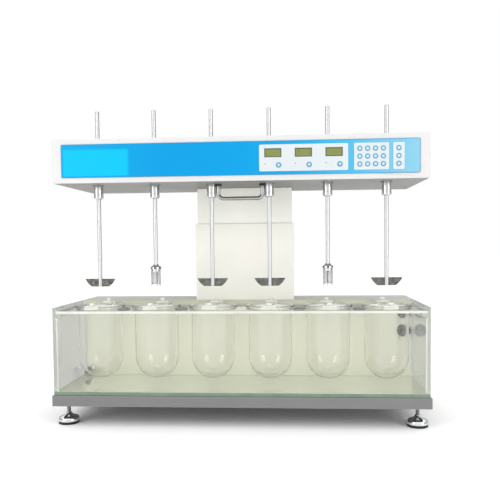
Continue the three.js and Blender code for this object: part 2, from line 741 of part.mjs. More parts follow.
// Drive: motor on the chassis, its pulley, and one belt round all the spindle pulleys.
function drive() {
  const motorTop = headUnderside + bearingTop - 4;
  add('drive_motor', disc(motorRadius, chassisTop + seatGap, motorTop, 24, 0, motorY),
    material(0x34373c, 0.4, 0.5));
  const rotor = turned([
    [0, motorTop + seatGap],
    [motorShaftRadius, motorTop + seatGap],
    [motorShaftRadius, pulleyBottom],
    [pulleyRadius + pulleyFlange, pulleyBottom],
    [pulleyRadius + pulleyFlange, pulleyBottom + pulleyFlange],
    [pulleyRadius, pulleyBottom + pulleyFlange],
    [pulleyRadius, pulleyTop - pulleyFlange],
    [pulleyRadius + pulleyFlange, pulleyTop - pulleyFlange],
    [pulleyRadius + pulleyFlange, pulleyTop],
    [0, pulleyTop],
  ], 20, 0, motorY);
  add('motor_pulley', rotor, material(0xa8abb0, 0.35, 0.9));

  const centres = [[vesselX[0], shaftLineY], [vesselX[vesselCount - 1], shaftLineY], [0, motorY]];
  const belt = beltOutline(new THREE.Shape(), centres, pulleyRadius + seatGap + beltThickness);
  belt.holes.push(beltOutline(new THREE.Path(), centres, pulleyRadius + seatGap));
  add('drive_belt', sheet(belt, pulleyBottom + pulleyFlange + 0.5, beltWidth - 1, 8),
    material(0x242426, 0.8, 0));
}

// Spindle: hollow, with its belt pulley above the bearing housing and the shaft chuck below it.
function spindles() {
  const finish = material(0xb5b7ba, 0.3, 0.95);
  const bore = shaftRadius + runGap;
  const profile = [
    [bore, chuckBottom],
    [chuckRadius - 2, chuckBottom],
    [chuckRadius, chuckBottom + 3],
    [chuckRadius, headUnderside + boreRecess - seatGap],
    [spindleRadius, headUnderside + boreRecess - seatGap],
    [spindleRadius, pulleyBottom],
    [pulleyRadius + pulleyFlange, pulleyBottom],
    [pulleyRadius + pulleyFlange, pulleyBottom + pulleyFlange],
    [pulleyRadius, pulleyBottom + pulleyFlange],
    [pulleyRadius, pulleyTop - pulleyFlange],
    [pulleyRadius + pulleyFlange, pulleyTop - pulleyFlange],
    [pulleyRadius + pulleyFlange, pulleyTop],
    [spindleRadius, pulleyTop],
    [spindleRadius, spindleTop],
    [bore, spindleTop],
  ];
  vesselX.forEach((x, i) => add(`spindle_${i + 1}`, turned(profile, 12, x, shaftLineY), finish.clone()));
}

// A paddle blade: a slice of a disc between two chords, on the shaft's end.
function paddleBlade(x) {
  const bottom = shaftBottom;
  const top = bottom + paddleHeight;
  const [a, b] = [paddleTopChord / 2, paddleBottomChord / 2];
  const side = new THREE.Vector2(a - b, paddleHeight);
  const sagitta = paddleSideRadius - Math.sqrt(paddleSideRadius ** 2 - side.lengthSq() / 4);
  const bulge = new THREE.Vector2(side.y, -side.x).normalize().multiplyScalar(2 * sagitta);
  const outline = new THREE.Shape();
  outline.moveTo(-b, bottom).lineTo(b, bottom);
  outline.quadraticCurveTo((a + b) / 2 + bulge.x, (top + bottom) / 2 + bulge.y, a, top);
  outline.lineTo(-a, top);
  outline.quadraticCurveTo(-(a + b) / 2 - bulge.x, (top + bottom) / 2 + bulge.y, -b, bottom);
  return frontPanel(outline, shaftLineY + paddleThickness / 2, paddleThickness, 6).translate(x, 0, 0);
}

// The turned outline of a shaft from a given lower end to its rounded top.
function shaftProfile(low) {
  return [
    [0, low],
    [shaftRadius, low],
    [shaftRadius, shaftTop - 2.5],
    [shaftRadius - 0.8, shaftTop - 0.8],
    [shaftRadius - 2.4, shaftTop],
    [0, shaftTop],
  ];
}

// Paddle shafts, and basket shafts with their vented disc and the baskets clipped under it.
function stirrers() {
  const steel = material(0xbcbec0, 0.25, 1);
  const basketBottom = shaftBottom + basketRise;
  const basketTop = basketBottom + basketHeight;
  vesselX.forEach((x, i) => {
    if (!basketPattern[i]) {
      const shaft = turned(shaftProfile(shaftBottom + 0.5), 12, x, shaftLineY);
      add(`paddle_shaft_${i + 1}`, combine(shaft, [paddleBlade(x)]), steel.clone());
      return;
    }
    const discBottom = basketTop + seatGap;
    const plugRadius = basketRadius - basketWall - 2 * runGap;
    const profile = [
      [0, discBottom - basketPlug],
      [plugRadius, discBottom - basketPlug],
      [plugRadius, discBottom],
      [basketHubRadius, discBottom],
      [basketHubRadius, discBottom + basketDisc],
      [shaftRadius + 2, discBottom + hubHeight - 4],
      ...shaftProfile(discBottom + hubHeight).slice(1),
    ];
    add(`basket_shaft_${i + 1}`, turned(profile, 16, x, shaftLineY), steel.clone());
    const cup = turned([
      [0, basketBottom],
      [basketRadius, basketBottom],
      [basketRadius, basketTop],
      [basketRadius - basketWall, basketTop],
      [basketRadius - basketWall, basketBottom + basketWall],
      [0, basketBottom + basketWall],
    ], 20, x, shaftLineY);
    add(`basket_${i + 1}`, cup, steel.clone());
  });
}

baseTray();
levellingFeet();
bath();
vesselPlate();
vessels();
rearHousing();
mainsFittings();
waterCircuit();
column();
lift();
headChassis();
headCover();
controlPanel();
handle();
drive();
spindles();
stirrers();

export default model;
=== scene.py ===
# Six-vessel tablet dissolution tester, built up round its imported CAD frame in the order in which
# the real one is put together. Metres, +X to the operator's right, +Y to the back, +Z up.
import math

import bmesh
import bpy
from mathutils import Matrix, Vector


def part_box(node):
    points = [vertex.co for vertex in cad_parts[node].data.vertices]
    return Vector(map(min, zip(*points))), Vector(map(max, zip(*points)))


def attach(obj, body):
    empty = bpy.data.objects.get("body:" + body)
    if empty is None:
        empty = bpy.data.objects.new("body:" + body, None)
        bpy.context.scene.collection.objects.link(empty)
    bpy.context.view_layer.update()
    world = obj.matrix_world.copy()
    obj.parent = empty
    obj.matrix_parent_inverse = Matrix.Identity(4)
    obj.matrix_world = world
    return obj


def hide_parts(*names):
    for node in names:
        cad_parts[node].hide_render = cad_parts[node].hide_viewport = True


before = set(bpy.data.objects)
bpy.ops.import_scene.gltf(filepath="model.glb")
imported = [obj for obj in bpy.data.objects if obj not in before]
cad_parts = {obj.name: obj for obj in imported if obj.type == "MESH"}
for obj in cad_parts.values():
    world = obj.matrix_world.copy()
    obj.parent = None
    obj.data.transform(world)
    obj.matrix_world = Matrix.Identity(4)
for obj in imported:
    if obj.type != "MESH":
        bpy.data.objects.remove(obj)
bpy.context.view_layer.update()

# ---- Studio --------
# A white paper floor, a soft lamp on each side, and a white surround, brightest overhead and darkest
# at the sides, so that the plated and turned parts have something to mirror. Light paths run long,
# because they cross many walls of glass.


def colour(red, green, blue):
    """The linear colour that a shader takes, from the 0 to 255 of a paint chart."""
    return tuple(((c / 255 + 0.055) / 1.055) ** 2.4 for c in (red, green, blue)) + (1.0,)


def finish(name, tint, roughness, metallic=0.0):
    """A new material and its Principled node."""
    material = bpy.data.materials.new(name)
    material.use_nodes = True
    shader = material.node_tree.nodes["Principled BSDF"]
    shader.inputs["Base Color"].default_value = tint
    shader.inputs["Roughness"].default_value = roughness
    shader.inputs["Metallic"].default_value = metallic
    return material, shader


floor_half_width = 14.0
floor_shape = bmesh.new()
bmesh.ops.create_grid(floor_shape, x_segments=1, y_segments=1, size=floor_half_width)
floor_mesh = bpy.data.meshes.new("paper_floor")
floor_shape.to_mesh(floor_mesh)
floor_shape.free()
paper, paper_shader = finish("white_paper", colour(252, 252, 252), 0.9)
paper_shader.inputs["Specular IOR Level"].default_value = 0.1
floor_mesh.materials.append(paper)
floor = bpy.data.objects.new("paper_floor", floor_mesh)
bpy.context.scene.collection.objects.link(floor)


def mapped(tree, source, start, end, low=0.0, high=1.0, kind="LINEAR"):
    """A value that goes from low to high while the source goes from start to end."""
    node = tree.nodes.new("ShaderNodeMapRange")
    node.interpolation_type = kind
    for socket, value in (("From Min", start), ("From Max", end), ("To Min", low), ("To Max", high)):
        node.inputs[socket].default_value = value
    tree.links.new(source, node.inputs["Value"])
    return node.outputs[0]


def laid_over(tree, under, tint, mask):
    """The colour under, covered by a tint as far as the mask says."""
    layer = tree.nodes.new("ShaderNodeMix")
    layer.data_type = "RGBA"
    layer.inputs[7].default_value = tint
    tree.links.new(mask, layer.inputs[0])
    tree.links.new(under, layer.inputs[6])
    return layer.outputs[2]


def grey(value):
    return (value, value, value, 1)


front_light, side_light, back_light, overhead_light, seen_light = 0.92, 0.40, 0.56, 1.5, 1.0
side_at = 0.42
world = bpy.data.worlds.new("white_surround")
bpy.context.scene.world = world
world.use_nodes = True
tree = world.node_tree
direction = tree.nodes.new("ShaderNodeTexCoord")
split = tree.nodes.new("ShaderNodeSeparateXYZ")
tree.links.new(direction.outputs["Generated"], split.inputs[0])
ramp = tree.nodes.new("ShaderNodeValToRGB")
stops = ramp.color_ramp.elements
stops[0].color = grey(front_light)
stops[1].color = grey(back_light)
stops.new(side_at).color = grey(side_light)
tree.links.new(mapped(tree, split.outputs["Y"], -1, 1), ramp.inputs[0])
lit = laid_over(tree, ramp.outputs[0], grey(overhead_light), mapped(tree, split.outputs["Z"], 0.35, 0.85))
ray = tree.nodes.new("ShaderNodeLightPath")
lit = laid_over(tree, lit, grey(seen_light), ray.outputs["Is Camera Ray"])
tree.links.new(lit, tree.nodes["Background"].inputs[0])
tree.nodes["Background"].inputs[1].default_value = 1.0
bpy.context.scene.view_settings.view_transform = "Standard"
light_paths = bpy.context.scene.cycles
light_paths.max_bounces = 18
light_paths.transmission_bounces = 18
light_paths.transparent_max_bounces = 32
light_paths.diffuse_bounces = 6

softbox_target = Vector((0, 0, 0.35))
softbox_width, softbox_height, softbox_power = 1.0, 2.0, 22
for name, place in (("left_softbox", (-1.95, -2.05, 1.15)), ("right_softbox", (2.15, -1.95, 1.15))):
    lamp = bpy.data.lights.new(name, "AREA")
    lamp.shape = "RECTANGLE"
    lamp.size, lamp.size_y = softbox_width, softbox_height
    lamp.energy = softbox_power
    box = bpy.data.objects.new(name, lamp)
    box.location = place
    box.rotation_euler = (softbox_target - Vector(place)).to_track_quat("-Z", "Y").to_euler()
    bpy.context.scene.collection.objects.link(box)

# ---- Camera --------
# A normal lens a metre and a half in front of the tester, level with the lower half of its column
# and turned a little to the left. A small shift frames it without tilting the lens any further.

camera_place = (0.1315, -1.558, 0.4205)
camera_yaw = math.radians(3.82)
camera_pitch = math.radians(2.68)
camera_roll = math.radians(-0.52)
lens = bpy.data.cameras.new("studio_camera")
lens.sensor_width = 36.0
lens.lens = 44.64
lens.shift_x = -0.0086
lens.shift_y = 0.0456
lens.clip_start = 0.05
camera = bpy.data.objects.new("studio_camera", lens)
forward = Vector((-math.sin(camera_yaw) * math.cos(camera_pitch),
                  math.cos(camera_yaw) * math.cos(camera_pitch), -math.sin(camera_pitch)))
level = forward.cross(Vector((0, 0, 1))).normalized()
upright = level.cross(forward)
right = math.cos(camera_roll) * level + math.sin(camera_roll) * upright
up = -math.sin(camera_roll) * level + math.cos(camera_roll) * upright
turn = Matrix((right, up, -forward)).transposed()
camera.matrix_world = Matrix.Translation(camera_place) @ turn.to_4x4()
bpy.context.scene.collection.objects.link(camera)
bpy.context.scene.camera = camera

# ---- Levelling feet --------
# Four screw feet: a chromed pressed dome on a black rubber sole, a rolled M9 stem, and a hexagon
# nut that locks it under the tray. Each one turns by hand in its boss.

surface = bpy.data.node_groups.new("surface_variation", "ShaderNodeTree")
for label, kind, start in (("Grain Scale", "NodeSocketFloat", 900.0),
                           ("Blotch Scale", "NodeSocketFloat", 8.0),
                           ("Stretch", "NodeSocketVector", (1.0, 1.0, 1.0))):
    surface.interface.new_socket(label, in_out="INPUT", socket_type=kind).default_value = start
for label in ("Grain", "Blotch", "Dust", "Edge"):
    surface.interface.new_socket(label, in_out="OUTPUT", socket_type="NodeSocketFloat")


def add_node(tree, kind, **values):
    node = tree.nodes.new(kind)
    for key, value in values.items():
        if key in node.inputs:
            node.inputs[key].default_value = value
        else:
            setattr(node, key, value)
    return node


takes = add_node(surface, "NodeGroupInput")
gives = add_node(surface, "NodeGroupOutput")
place = add_node(surface, "ShaderNodeTexCoord")
spread = add_node(surface, "ShaderNodeVectorMath", operation="MULTIPLY")
grain = add_node(surface, "ShaderNodeTexNoise", Detail=2.0, Roughness=0.55)
blotch = add_node(surface, "ShaderNodeTexNoise", Detail=4.0, Roughness=0.6)
blotch_share = mapped(surface, blotch.outputs[0], 0.3, 0.7)
geometry = add_node(surface, "ShaderNodeNewGeometry")
facing = add_node(surface, "ShaderNodeSeparateXYZ")
settled = add_node(surface, "ShaderNodeMath", operation="MULTIPLY")
round_over = add_node(surface, "ShaderNodeBevel", samples=4, Radius=0.0012)
bent = add_node(surface, "ShaderNodeVectorMath", operation="DOT_PRODUCT")
for out, into in ((takes.outputs["Grain Scale"], grain.inputs["Scale"]),
                  (takes.outputs["Blotch Scale"], blotch.inputs["Scale"]),
                  (place.outputs["Object"], spread.inputs[0]),
                  (takes.outputs["Stretch"], spread.inputs[1]),
                  (spread.outputs[0], grain.inputs["Vector"]),
                  (place.outputs["Object"], blotch.inputs["Vector"]),
                  (geometry.outputs["Normal"], facing.inputs[0]),
                  (mapped(surface, facing.outputs["Z"], 0.7, 1.0), settled.inputs[0]),
                  (blotch_share, settled.inputs[1]),
                  (round_over.outputs[0], bent.inputs[0]),
                  (geometry.outputs["Normal"], bent.inputs[1]),
                  (grain.outputs[0], gives.inputs["Grain"]),
                  (blotch_share, gives.inputs["Blotch"]),
                  (settled.outputs[0], gives.inputs["Dust"]),
                  (mapped(surface, bent.outputs["Value"], 0.995, 0.93), gives.inputs["Edge"])):
    surface.links.new(out, into)

dust_tint = colour(205, 202, 195)
rubbed_tint = colour(236, 236, 232)


def worked(name, tint, roughness, metallic=0.0, drift=0.05, uneven=0.06, bump=0.00002,
           grain_scale=900.0, blotch_scale=8.0, stretch=(1, 1, 1), dust=0.0, wear=0.0, coat=0.0):
    """A solid finish whose colour drifts, whose gloss is uneven and whose grain stands up by bump
    metres, with dust on level faces and wear on edges where they are asked for."""
    material, shader = finish(name, tint, roughness, metallic)
    shader.inputs["Coat Weight"].default_value = coat
    shader.inputs["Coat Roughness"].default_value = 0.05
    tree = material.node_tree
    marks = add_node(tree, "ShaderNodeGroup", node_tree=surface)
    marks.inputs["Grain Scale"].default_value = grain_scale
    marks.inputs["Blotch Scale"].default_value = blotch_scale
    marks.inputs["Stretch"].default_value = stretch
    tone = add_node(tree, "ShaderNodeMix", data_type="RGBA")
    tone.inputs[6].default_value = tuple(c * (1 - drift) for c in tint[:3]) + (1,)
    tone.inputs[7].default_value = tuple(min(1, c * (1 + drift / 2)) for c in tint[:3]) + (1,)
    tree.links.new(marks.outputs["Blotch"], tone.inputs[0])
    shown = tone.outputs[2]
    for amount, source, over in ((dust, "Dust", dust_tint), (wear, "Edge", rubbed_tint)):
        if amount:
            share = add_node(tree, "ShaderNodeMath", operation="MULTIPLY")
            share.inputs[1].default_value = amount
            tree.links.new(marks.outputs[source], share.inputs[0])
            shown = laid_over(tree, shown, over, share.outputs[0])
    tree.links.new(shown, shader.inputs["Base Color"])
    gloss = mapped(tree, marks.outputs["Blotch"], 0.0, 1.0, max(0.02, roughness - uneven),
                   min(1.0, roughness + uneven))
    tree.links.new(gloss, shader.inputs["Roughness"])
    if bump:
        relief = add_node(tree, "ShaderNodeBump", Distance=bump)
        tree.links.new(marks.outputs["Grain"], relief.inputs["Height"])
        tree.links.new(relief.outputs[0], shader.inputs["Normal"])
    return material


def turned(outline, x=0.0, y=0.0, steps=40):
    """An outline of (radius, height) points spun about the upright line through x, y. It closes on
    itself unless both its ends are on that line."""
    shape = bmesh.new()
    points = [shape.verts.new((radius, 0, height)) for radius, height in outline]
    edges = [shape.edges.new(pair) for pair in zip(points, points[1:])]
    if outline[0][0] or outline[-1][0]:
        edges.append(shape.edges.new((points[-1], points[0])))
    bmesh.ops.spin(shape, geom=points + edges, cent=(0, 0, 0), axis=(0, 0, 1), angle=math.tau,
                   steps=steps, use_merge=True, use_duplicate=False)
    bmesh.ops.remove_doubles(shape, verts=shape.verts[:], dist=1e-7)
    bmesh.ops.recalc_face_normals(shape, faces=shape.faces[:])
    bmesh.ops.translate(shape, vec=(x, y, 0), verts=shape.verts[:])
    return shape


def soften(shape, width, segments=2, over=50.0):
    """Rounds every edge that turns by more than a given angle."""
    sharp = [e for e in shape.edges if e.is_manifold and e.calc_face_angle() > math.radians(over)]
    bmesh.ops.bevel(shape, geom=sharp, offset=width, offset_type="OFFSET", segments=segments,
                    profile=0.5, affect="EDGES", material=-1, clamp_overlap=True)
    return shape


def assemble(name, body, shapes, stands_for=(), smooth=38.0):
    """One piece from (shape, material) pairs, or (shape, (materials of its faces)), on a body. Its
    shading follows the large faces, so that flats stay flat up to their rounded edges."""
    mesh = bpy.data.meshes.new(name)
    whole = bmesh.new()
    materials = []
    for shape, coats in shapes:
        coats = coats if isinstance(coats, tuple) else (coats,)
        materials += [coat for coat in coats if coat not in materials]
        for face in shape.faces:
            face.material_index = materials.index(coats[face.material_index])
        shape.to_mesh(mesh)
        shape.free()
        whole.from_mesh(mesh)
    whole.to_mesh(mesh)
    whole.free()
    for material in materials:
        mesh.materials.append(material)
    mesh.shade_smooth()
    mesh.set_sharp_from_angle(angle=math.radians(smooth))
    piece = bpy.data.objects.new(name, mesh)
    bpy.context.scene.collection.objects.link(piece)
    level_flats = piece.modifiers.new("level_flats", "WEIGHTED_NORMAL")
    level_flats.mode = "FACE_AREA"
    level_flats.weight = 50
    level_flats.keep_sharp = True
    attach(piece, body)
    if stands_for:
        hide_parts(*stands_for)
    return piece


rubber = worked("black_rubber", colour(24, 24, 25), 0.72, bump=0.00003, grain_scale=600, dust=0.12)
chrome = worked("chrome_plate", colour(226, 227, 229), 0.09, metallic=1.0, drift=0.02, uneven=0.035,
                bump=0, blotch_scale=30)
zinc = worked("zinc_nut", colour(176, 178, 180), 0.3, metallic=1.0, bump=0.00001, blotch_scale=60)

thread_radius, thread_root, thread_pitch = 0.0045, 0.0041, 0.0015
nut_radius, nut_height, nut_top = 0.0092, 0.0052, 0.0466
sole_top, dome_top = 0.0062, 0.0262
for corner in ("front_left", "front_right", "rear_left", "rear_right"):
    node = "foot_" + corner
    low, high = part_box(node)
    x, y = (low.x + high.x) / 2, (low.y + high.y) / 2
    sole = turned([(0, 0), (0.0226, 0), (0.0238, 0.0009), (0.0241, 0.0050), (0.0236, sole_top),
                   (0, sole_top)], x, y)
    dome = turned([(0.0236, sole_top), (0.0246, 0.0066), (0.0250, 0.0080), (0.0250, 0.0104), (0.0244, 0.0128),
                   (0.0228, 0.0151), (0.0200, 0.0171), (0.0162, 0.0187), (0.0122, 0.0199), (0.0094, 0.0212),
                   (0.0074, 0.0232), (0.0060, dome_top), (thread_radius, 0.0266), (thread_radius, sole_top)],
                  x, y, 48)
    thread = [(0, dome_top)]
    height = 0.0264
    while height < high.z - 0.0022:
        thread += [(thread_root, height), (thread_radius, height + thread_pitch / 2)]
        height += thread_pitch
    thread += [(thread_root, high.z - 0.0008), (0.0034, high.z), (0, high.z)]
    stem = turned(thread, x, y, 28)
    nut = bmesh.new()
    bmesh.ops.create_cone(nut, cap_ends=True, segments=6, radius1=nut_radius, radius2=nut_radius,
                          depth=nut_height, matrix=Matrix.Translation((x, y, nut_top - nut_height / 2)))
    soften(nut, 0.0005)
    assemble("levelling_" + node, node,
             [(sole, rubber), (dome, chrome), (stem, zinc), (nut, zinc)], [node])

# ---- Base tray --------
# A tray of 3 mm sheet steel, folded down on all four sides and open below, with a threaded boss
# welded in over each foot. Grey powder coat, a little rubbed along the folds.


def from_cad(node, edge_radius, segments=2, over=50.0):
    """A copy of a CAD solid, its loose triangles joined and its edges rounded."""
    shape = bmesh.new()
    shape.from_mesh(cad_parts[node].data)
    for face in shape.faces:
        face.material_index = 0
    bmesh.ops.remove_doubles(shape, verts=shape.verts[:], dist=0.00001)
    return soften(shape, edge_radius, segments, over) if edge_radius else shape


def eased(piece, body, node, material, slot, *rounding):
    """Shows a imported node's own shape with its sharp edges eased."""
    assemble(piece, body, [(from_cad(node, *rounding), material)], [node])


grey_coat = worked("grey_powder_coat", colour(117, 117, 117), 0.42, drift=0.06, bump=0.00003,
                   grain_scale=1300, wear=0.35, dust=0.10)
eased("folded_tray", "base", "base_tray", grey_coat, "tray_paint", 0.0011, 3)

# ---- Bath floor --------
# One slab of thick float glass laid on the tray, painted pale green-cream underneath. Its ground
# edge shows the deep green of the glass.


def slab(low, high, edge_radius=0.0, segments=2):
    """A block between two corners with its edges rounded."""
    shape = bmesh.new()
    made = bmesh.ops.create_cube(shape, size=1.0)["verts"]
    bmesh.ops.scale(shape, vec=[b - a for a, b in zip(low, high)], verts=made)
    bmesh.ops.translate(shape, vec=[(a + b) / 2 for a, b in zip(low, high)], verts=made)
    return soften(shape, edge_radius, segments) if edge_radius else shape


def mark_edges(shape, thin_axis):
    """Gives the faces that don't look along the thin axis the second material."""
    for face in shape.faces:
        face.material_index = 0 if abs(face.normal[thin_axis]) > 0.9 else 1
    return shape


def clear(name, tint, passed, ior=1.5, roughness=0.0, clearness=1.0):
    """Glass of a given tint. Lamps shine through it as through a window of the colour passed."""
    material, shader = finish(name, tint, roughness)
    shader.inputs["Transmission Weight"].default_value = clearness
    shader.inputs["IOR"].default_value = ior
    tree = material.node_tree
    window = add_node(tree, "ShaderNodeBsdfTransparent", Color=passed)
    ray = add_node(tree, "ShaderNodeLightPath")
    choice = add_node(tree, "ShaderNodeMixShader")
    tree.links.new(ray.outputs["Is Shadow Ray"], choice.inputs[0])
    tree.links.new(shader.outputs[0], choice.inputs[1])
    tree.links.new(window.outputs[0], choice.inputs[2])
    tree.links.new(choice.outputs[0], tree.nodes["Material Output"].inputs["Surface"])
    return material


floor_glass = worked("painted_float_glass", colour(186, 189, 169), 0.12, drift=0.05, uneven=0.04, bump=0,
                     blotch_scale=5, coat=1.0)
green_edge = worked("green_glass_edge", colour(100, 126, 103), 0.16, drift=0.2, uneven=0.08, bump=0,
                    blotch_scale=26, coat=1.0)
low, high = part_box("bath_floor")
assemble("bath_floor_glass", "base", [(mark_edges(slab(low, high, 0.0006), 2), (floor_glass, green_edge))],
         ["bath_floor"])
floor_top = high.z

# ---- Bath panes --------
# A front pane and two side panes of 6 mm float glass with polished edges, bonded in a U. Strips of
# the same glass inside the side panes carry the vessel plate, and silicone fills the corners.

pane_glass = clear("float_glass", colour(252, 253, 251), colour(252, 253, 251))
# Painted shade and reflection: the side panes are tinted grey for the darker surround seen in them, while
# lamps pass through them nearly untinted.
painted_grey_side_pane = clear("side_pane_glass_painted_grey", colour(184, 185, 182), colour(246, 247, 244))
pane_edge = clear("ground_glass_edge", colour(214, 217, 211), colour(232, 236, 231), roughness=0.35,
                  clearness=0.5)
silicone = worked("clear_silicone", colour(205, 207, 199), 0.35, drift=0.1, bump=0.00004, grain_scale=300)

pane = 0.006
joint = 0.0002
ledge_wide, ledge_margin, ledge_gap = 0.009, 0.010, 0.0003
bead, bead_hollow, bead_short = 0.0035, 0.42, 0.002
low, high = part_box("bath_glass")
plate_low, plate_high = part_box("vessel_plate")
wall_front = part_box("bath_rear_wall")[0].y
ledge_top = plate_low.z - ledge_gap
panes = [(mark_edges(slab(low, (high.x, low.y + pane, high.z), 0.0005), 1), (pane_glass, pane_edge))]
for sign, outer in ((-1, low.x), (1, high.x)):
    inner = outer - sign * pane
    corner_a = (min(outer, inner), low.y + pane + joint, low.z)
    corner_b = (max(outer, inner), high.y, high.z)
    panes.append((mark_edges(slab(corner_a, corner_b, 0.0005), 0), (painted_grey_side_pane, pane_edge)))
    near = inner - sign * joint
    far = near - sign * ledge_wide
    panes.append((slab((min(near, far), low.y + pane + ledge_margin, ledge_top - ledge_wide),
                       (max(near, far), wall_front - ledge_margin, ledge_top), 0.0004), pane_edge))
assemble("bath_panes", "base", panes, ["bath_glass"])


def drawn_out(shape, faces, move):
    """Extrudes faces along a move and turns every face outwards."""
    made = bmesh.ops.extrude_face_region(shape, geom=faces)["geom"]
    bmesh.ops.translate(shape, vec=move, verts=[v for v in made if isinstance(v, bmesh.types.BMVert)])
    bmesh.ops.recalc_face_normals(shape, faces=shape.faces[:])
    return shape


bead_long = plate_low.z - ledge_wide - bead_short - floor_top
beads = []
for sign, outer in ((-1, low.x), (1, high.x)):
    inner = outer - sign * (pane + joint)
    for y, away in ((low.y + pane + joint, 1), (wall_front - joint, -1)):
        shape = bmesh.new()
        for dx, dy in ((0, 0), (-sign * bead, 0), (-sign * bead * bead_hollow, away * bead * bead_hollow),
                       (0, away * bead)):
            shape.verts.new((inner + dx, y + dy, floor_top + joint))
        face = shape.faces.new(shape.verts[:])
        beads.append((drawn_out(shape, [face], (0, 0, bead_long)), silicone))
assemble("silicone_beads", "base", beads)

# ---- Bath rear wall --------
# A cream enamelled sheet that closes the bath at the back, with holes for its three fittings. The
# silicone beads at its ends seal it to the side panes.

cream = worked("cream_enamel", colour(208, 207, 190), 0.35, drift=0.03, bump=0.00001, grain_scale=500,
               coat=0.3)
eased("bath_back", "base", "bath_rear_wall", cream, "cream_panel", 0.0004)

# ---- Vessel plate --------
# A clear acrylic sheet with a polished hole for each vessel, resting on the glass ledges. A dark
# grey rubber grommet lines each smaller hole between the outer vessels, for a filling tube.


def panel(width, height, thickness, radius=0.0, holes=()):
    """A flat sheet in X and Y from z 0 up, with rounded corners and holes (x, y, radius)."""
    shape = bmesh.new()
    bmesh.ops.create_grid(shape, x_segments=1, y_segments=1, size=0.5)
    bmesh.ops.scale(shape, vec=(width, height, 1), verts=shape.verts[:])
    if radius:
        bmesh.ops.bevel(shape, geom=shape.verts[:], offset=radius, offset_type="OFFSET", segments=6,
                        profile=0.5, affect="VERTICES", material=-1)
    if holes:
        bmesh.ops.delete(shape, geom=shape.faces[:], context="FACES_ONLY")
        for x, y, hole_radius in holes:
            bmesh.ops.create_circle(shape, cap_ends=False, radius=hole_radius, segments=64,
                                    matrix=Matrix.Translation((x, y, 0)))
        bmesh.ops.triangle_fill(shape, use_beauty=True, use_dissolve=False, edges=shape.edges[:],
                                normal=(0, 0, 1))
    return drawn_out(shape, shape.faces[:], (0, 0, thickness))


acrylic = clear("clear_acrylic", colour(246, 248, 243), colour(248, 249, 245), ior=1.49)
acrylic_edge = clear("cut_acrylic_edge", colour(244, 245, 236), colour(242, 244, 237), ior=1.49,
                     roughness=0.4, clearness=0.4)
grommet = worked("grey_grommet", colour(92, 94, 88), 0.45, drift=0.1, bump=0.00003, grain_scale=500, dust=0.2)

vessels = [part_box("vessel_%d" % number) for number in range(1, 7)]
vessel_x = [(low.x + high.x) / 2 for low, high in vessels]
shaft_y = (vessels[0][0].y + vessels[0][1].y) / 2
vessel_hole, small_hole = 0.054, 0.012
small_hole_y = shaft_y - 0.042
small_hole_x = [(a + b) / 2 for a, b in zip(vessel_x, vessel_x[1:]) if abs(a + b) > 0.01]
middle = (plate_low + plate_high) / 2
size = plate_high - plate_low
plate = panel(size.x, size.y, size.z, 0.0,
              [(x - middle.x, shaft_y - middle.y, vessel_hole) for x in vessel_x]
              + [(x - middle.x, small_hole_y - middle.y, small_hole) for x in small_hole_x])
bmesh.ops.translate(plate, vec=(middle.x, middle.y, plate_low.z), verts=plate.verts[:])
assemble("acrylic_plate", "base", [(mark_edges(soften(plate, 0.0004), 2), (acrylic, acrylic_edge))],
         ["vessel_plate"])
top = plate_high.z
bottom = plate_low.z
bore = 0.0096
grommets = [(turned([(bore, bottom - 0.0014), (0.0138, bottom - 0.0014), (0.0142, bottom - 0.0002),
                     (0.0118, bottom - 0.0001), (0.0118, top + 0.0001), (0.0148, top + 0.0002),
                     (0.0150, top + 0.0012), (0.0140, top + 0.0026), (0.0112, top + 0.0029),
                     (bore, top + 0.0014)], x, small_hole_y), grommet) for x in small_hole_x]
assemble("hole_grommets", "base", grommets)

# ---- Vessels --------
# Six one-litre vessels, each blown in clear borosilicate with a half-round bottom and a thick
# fire-polished flange that hangs in the plate.

vessel_glass = clear("borosilicate", colour(254, 254, 253), colour(253, 253, 252), ior=1.46)


def arc(radius, centre_height, start, end, steps):
    """Points of an arc in (radius, height), from one angle above the horizontal to another."""
    angles = [math.radians(start + (end - start) * i / steps) for i in range(steps + 1)]
    return [(max(0.0, radius * math.cos(a)), centre_height + radius * math.sin(a)) for a in angles]


vessel_radius, vessel_wall = 0.0525, 0.0023
flange_rounding = 0.0012
bore = vessel_radius - vessel_wall
for number, (low, high) in enumerate(vessels, 1):
    flange_radius = (high.x - low.x) / 2
    flange_low = high.z - 0.0045
    centre = low.z + vessel_radius
    outside = arc(vessel_radius, centre, -90, 0, 16)
    inside = arc(bore, centre, 0, -90, 16)
    outside[0], inside[-1] = (0, outside[0][1]), (0, inside[-1][1])
    flange = [(vessel_radius, flange_low - 0.002), (vessel_radius + flange_rounding, flange_low),
              (flange_radius - 0.001, flange_low), (flange_radius, flange_low + flange_rounding),
              (flange_radius, high.z - flange_rounding), (flange_radius - flange_rounding, high.z),
              (bore + 0.0016, high.z), (bore, high.z - 0.0016)]
    assemble("glass_vessel_%d" % number, "base",
             [(turned(outside + flange + inside, vessel_x[number - 1], shaft_y, 72), vessel_glass)],
             ["vessel_%d" % number], smooth=60)

# ---- Vessel clips --------
# Milky acetal clips screwed to the plate, one behind and one in front of each vessel. Each has a
# foot on the plate, a tongue over the flange and a small knob that turns it aside.

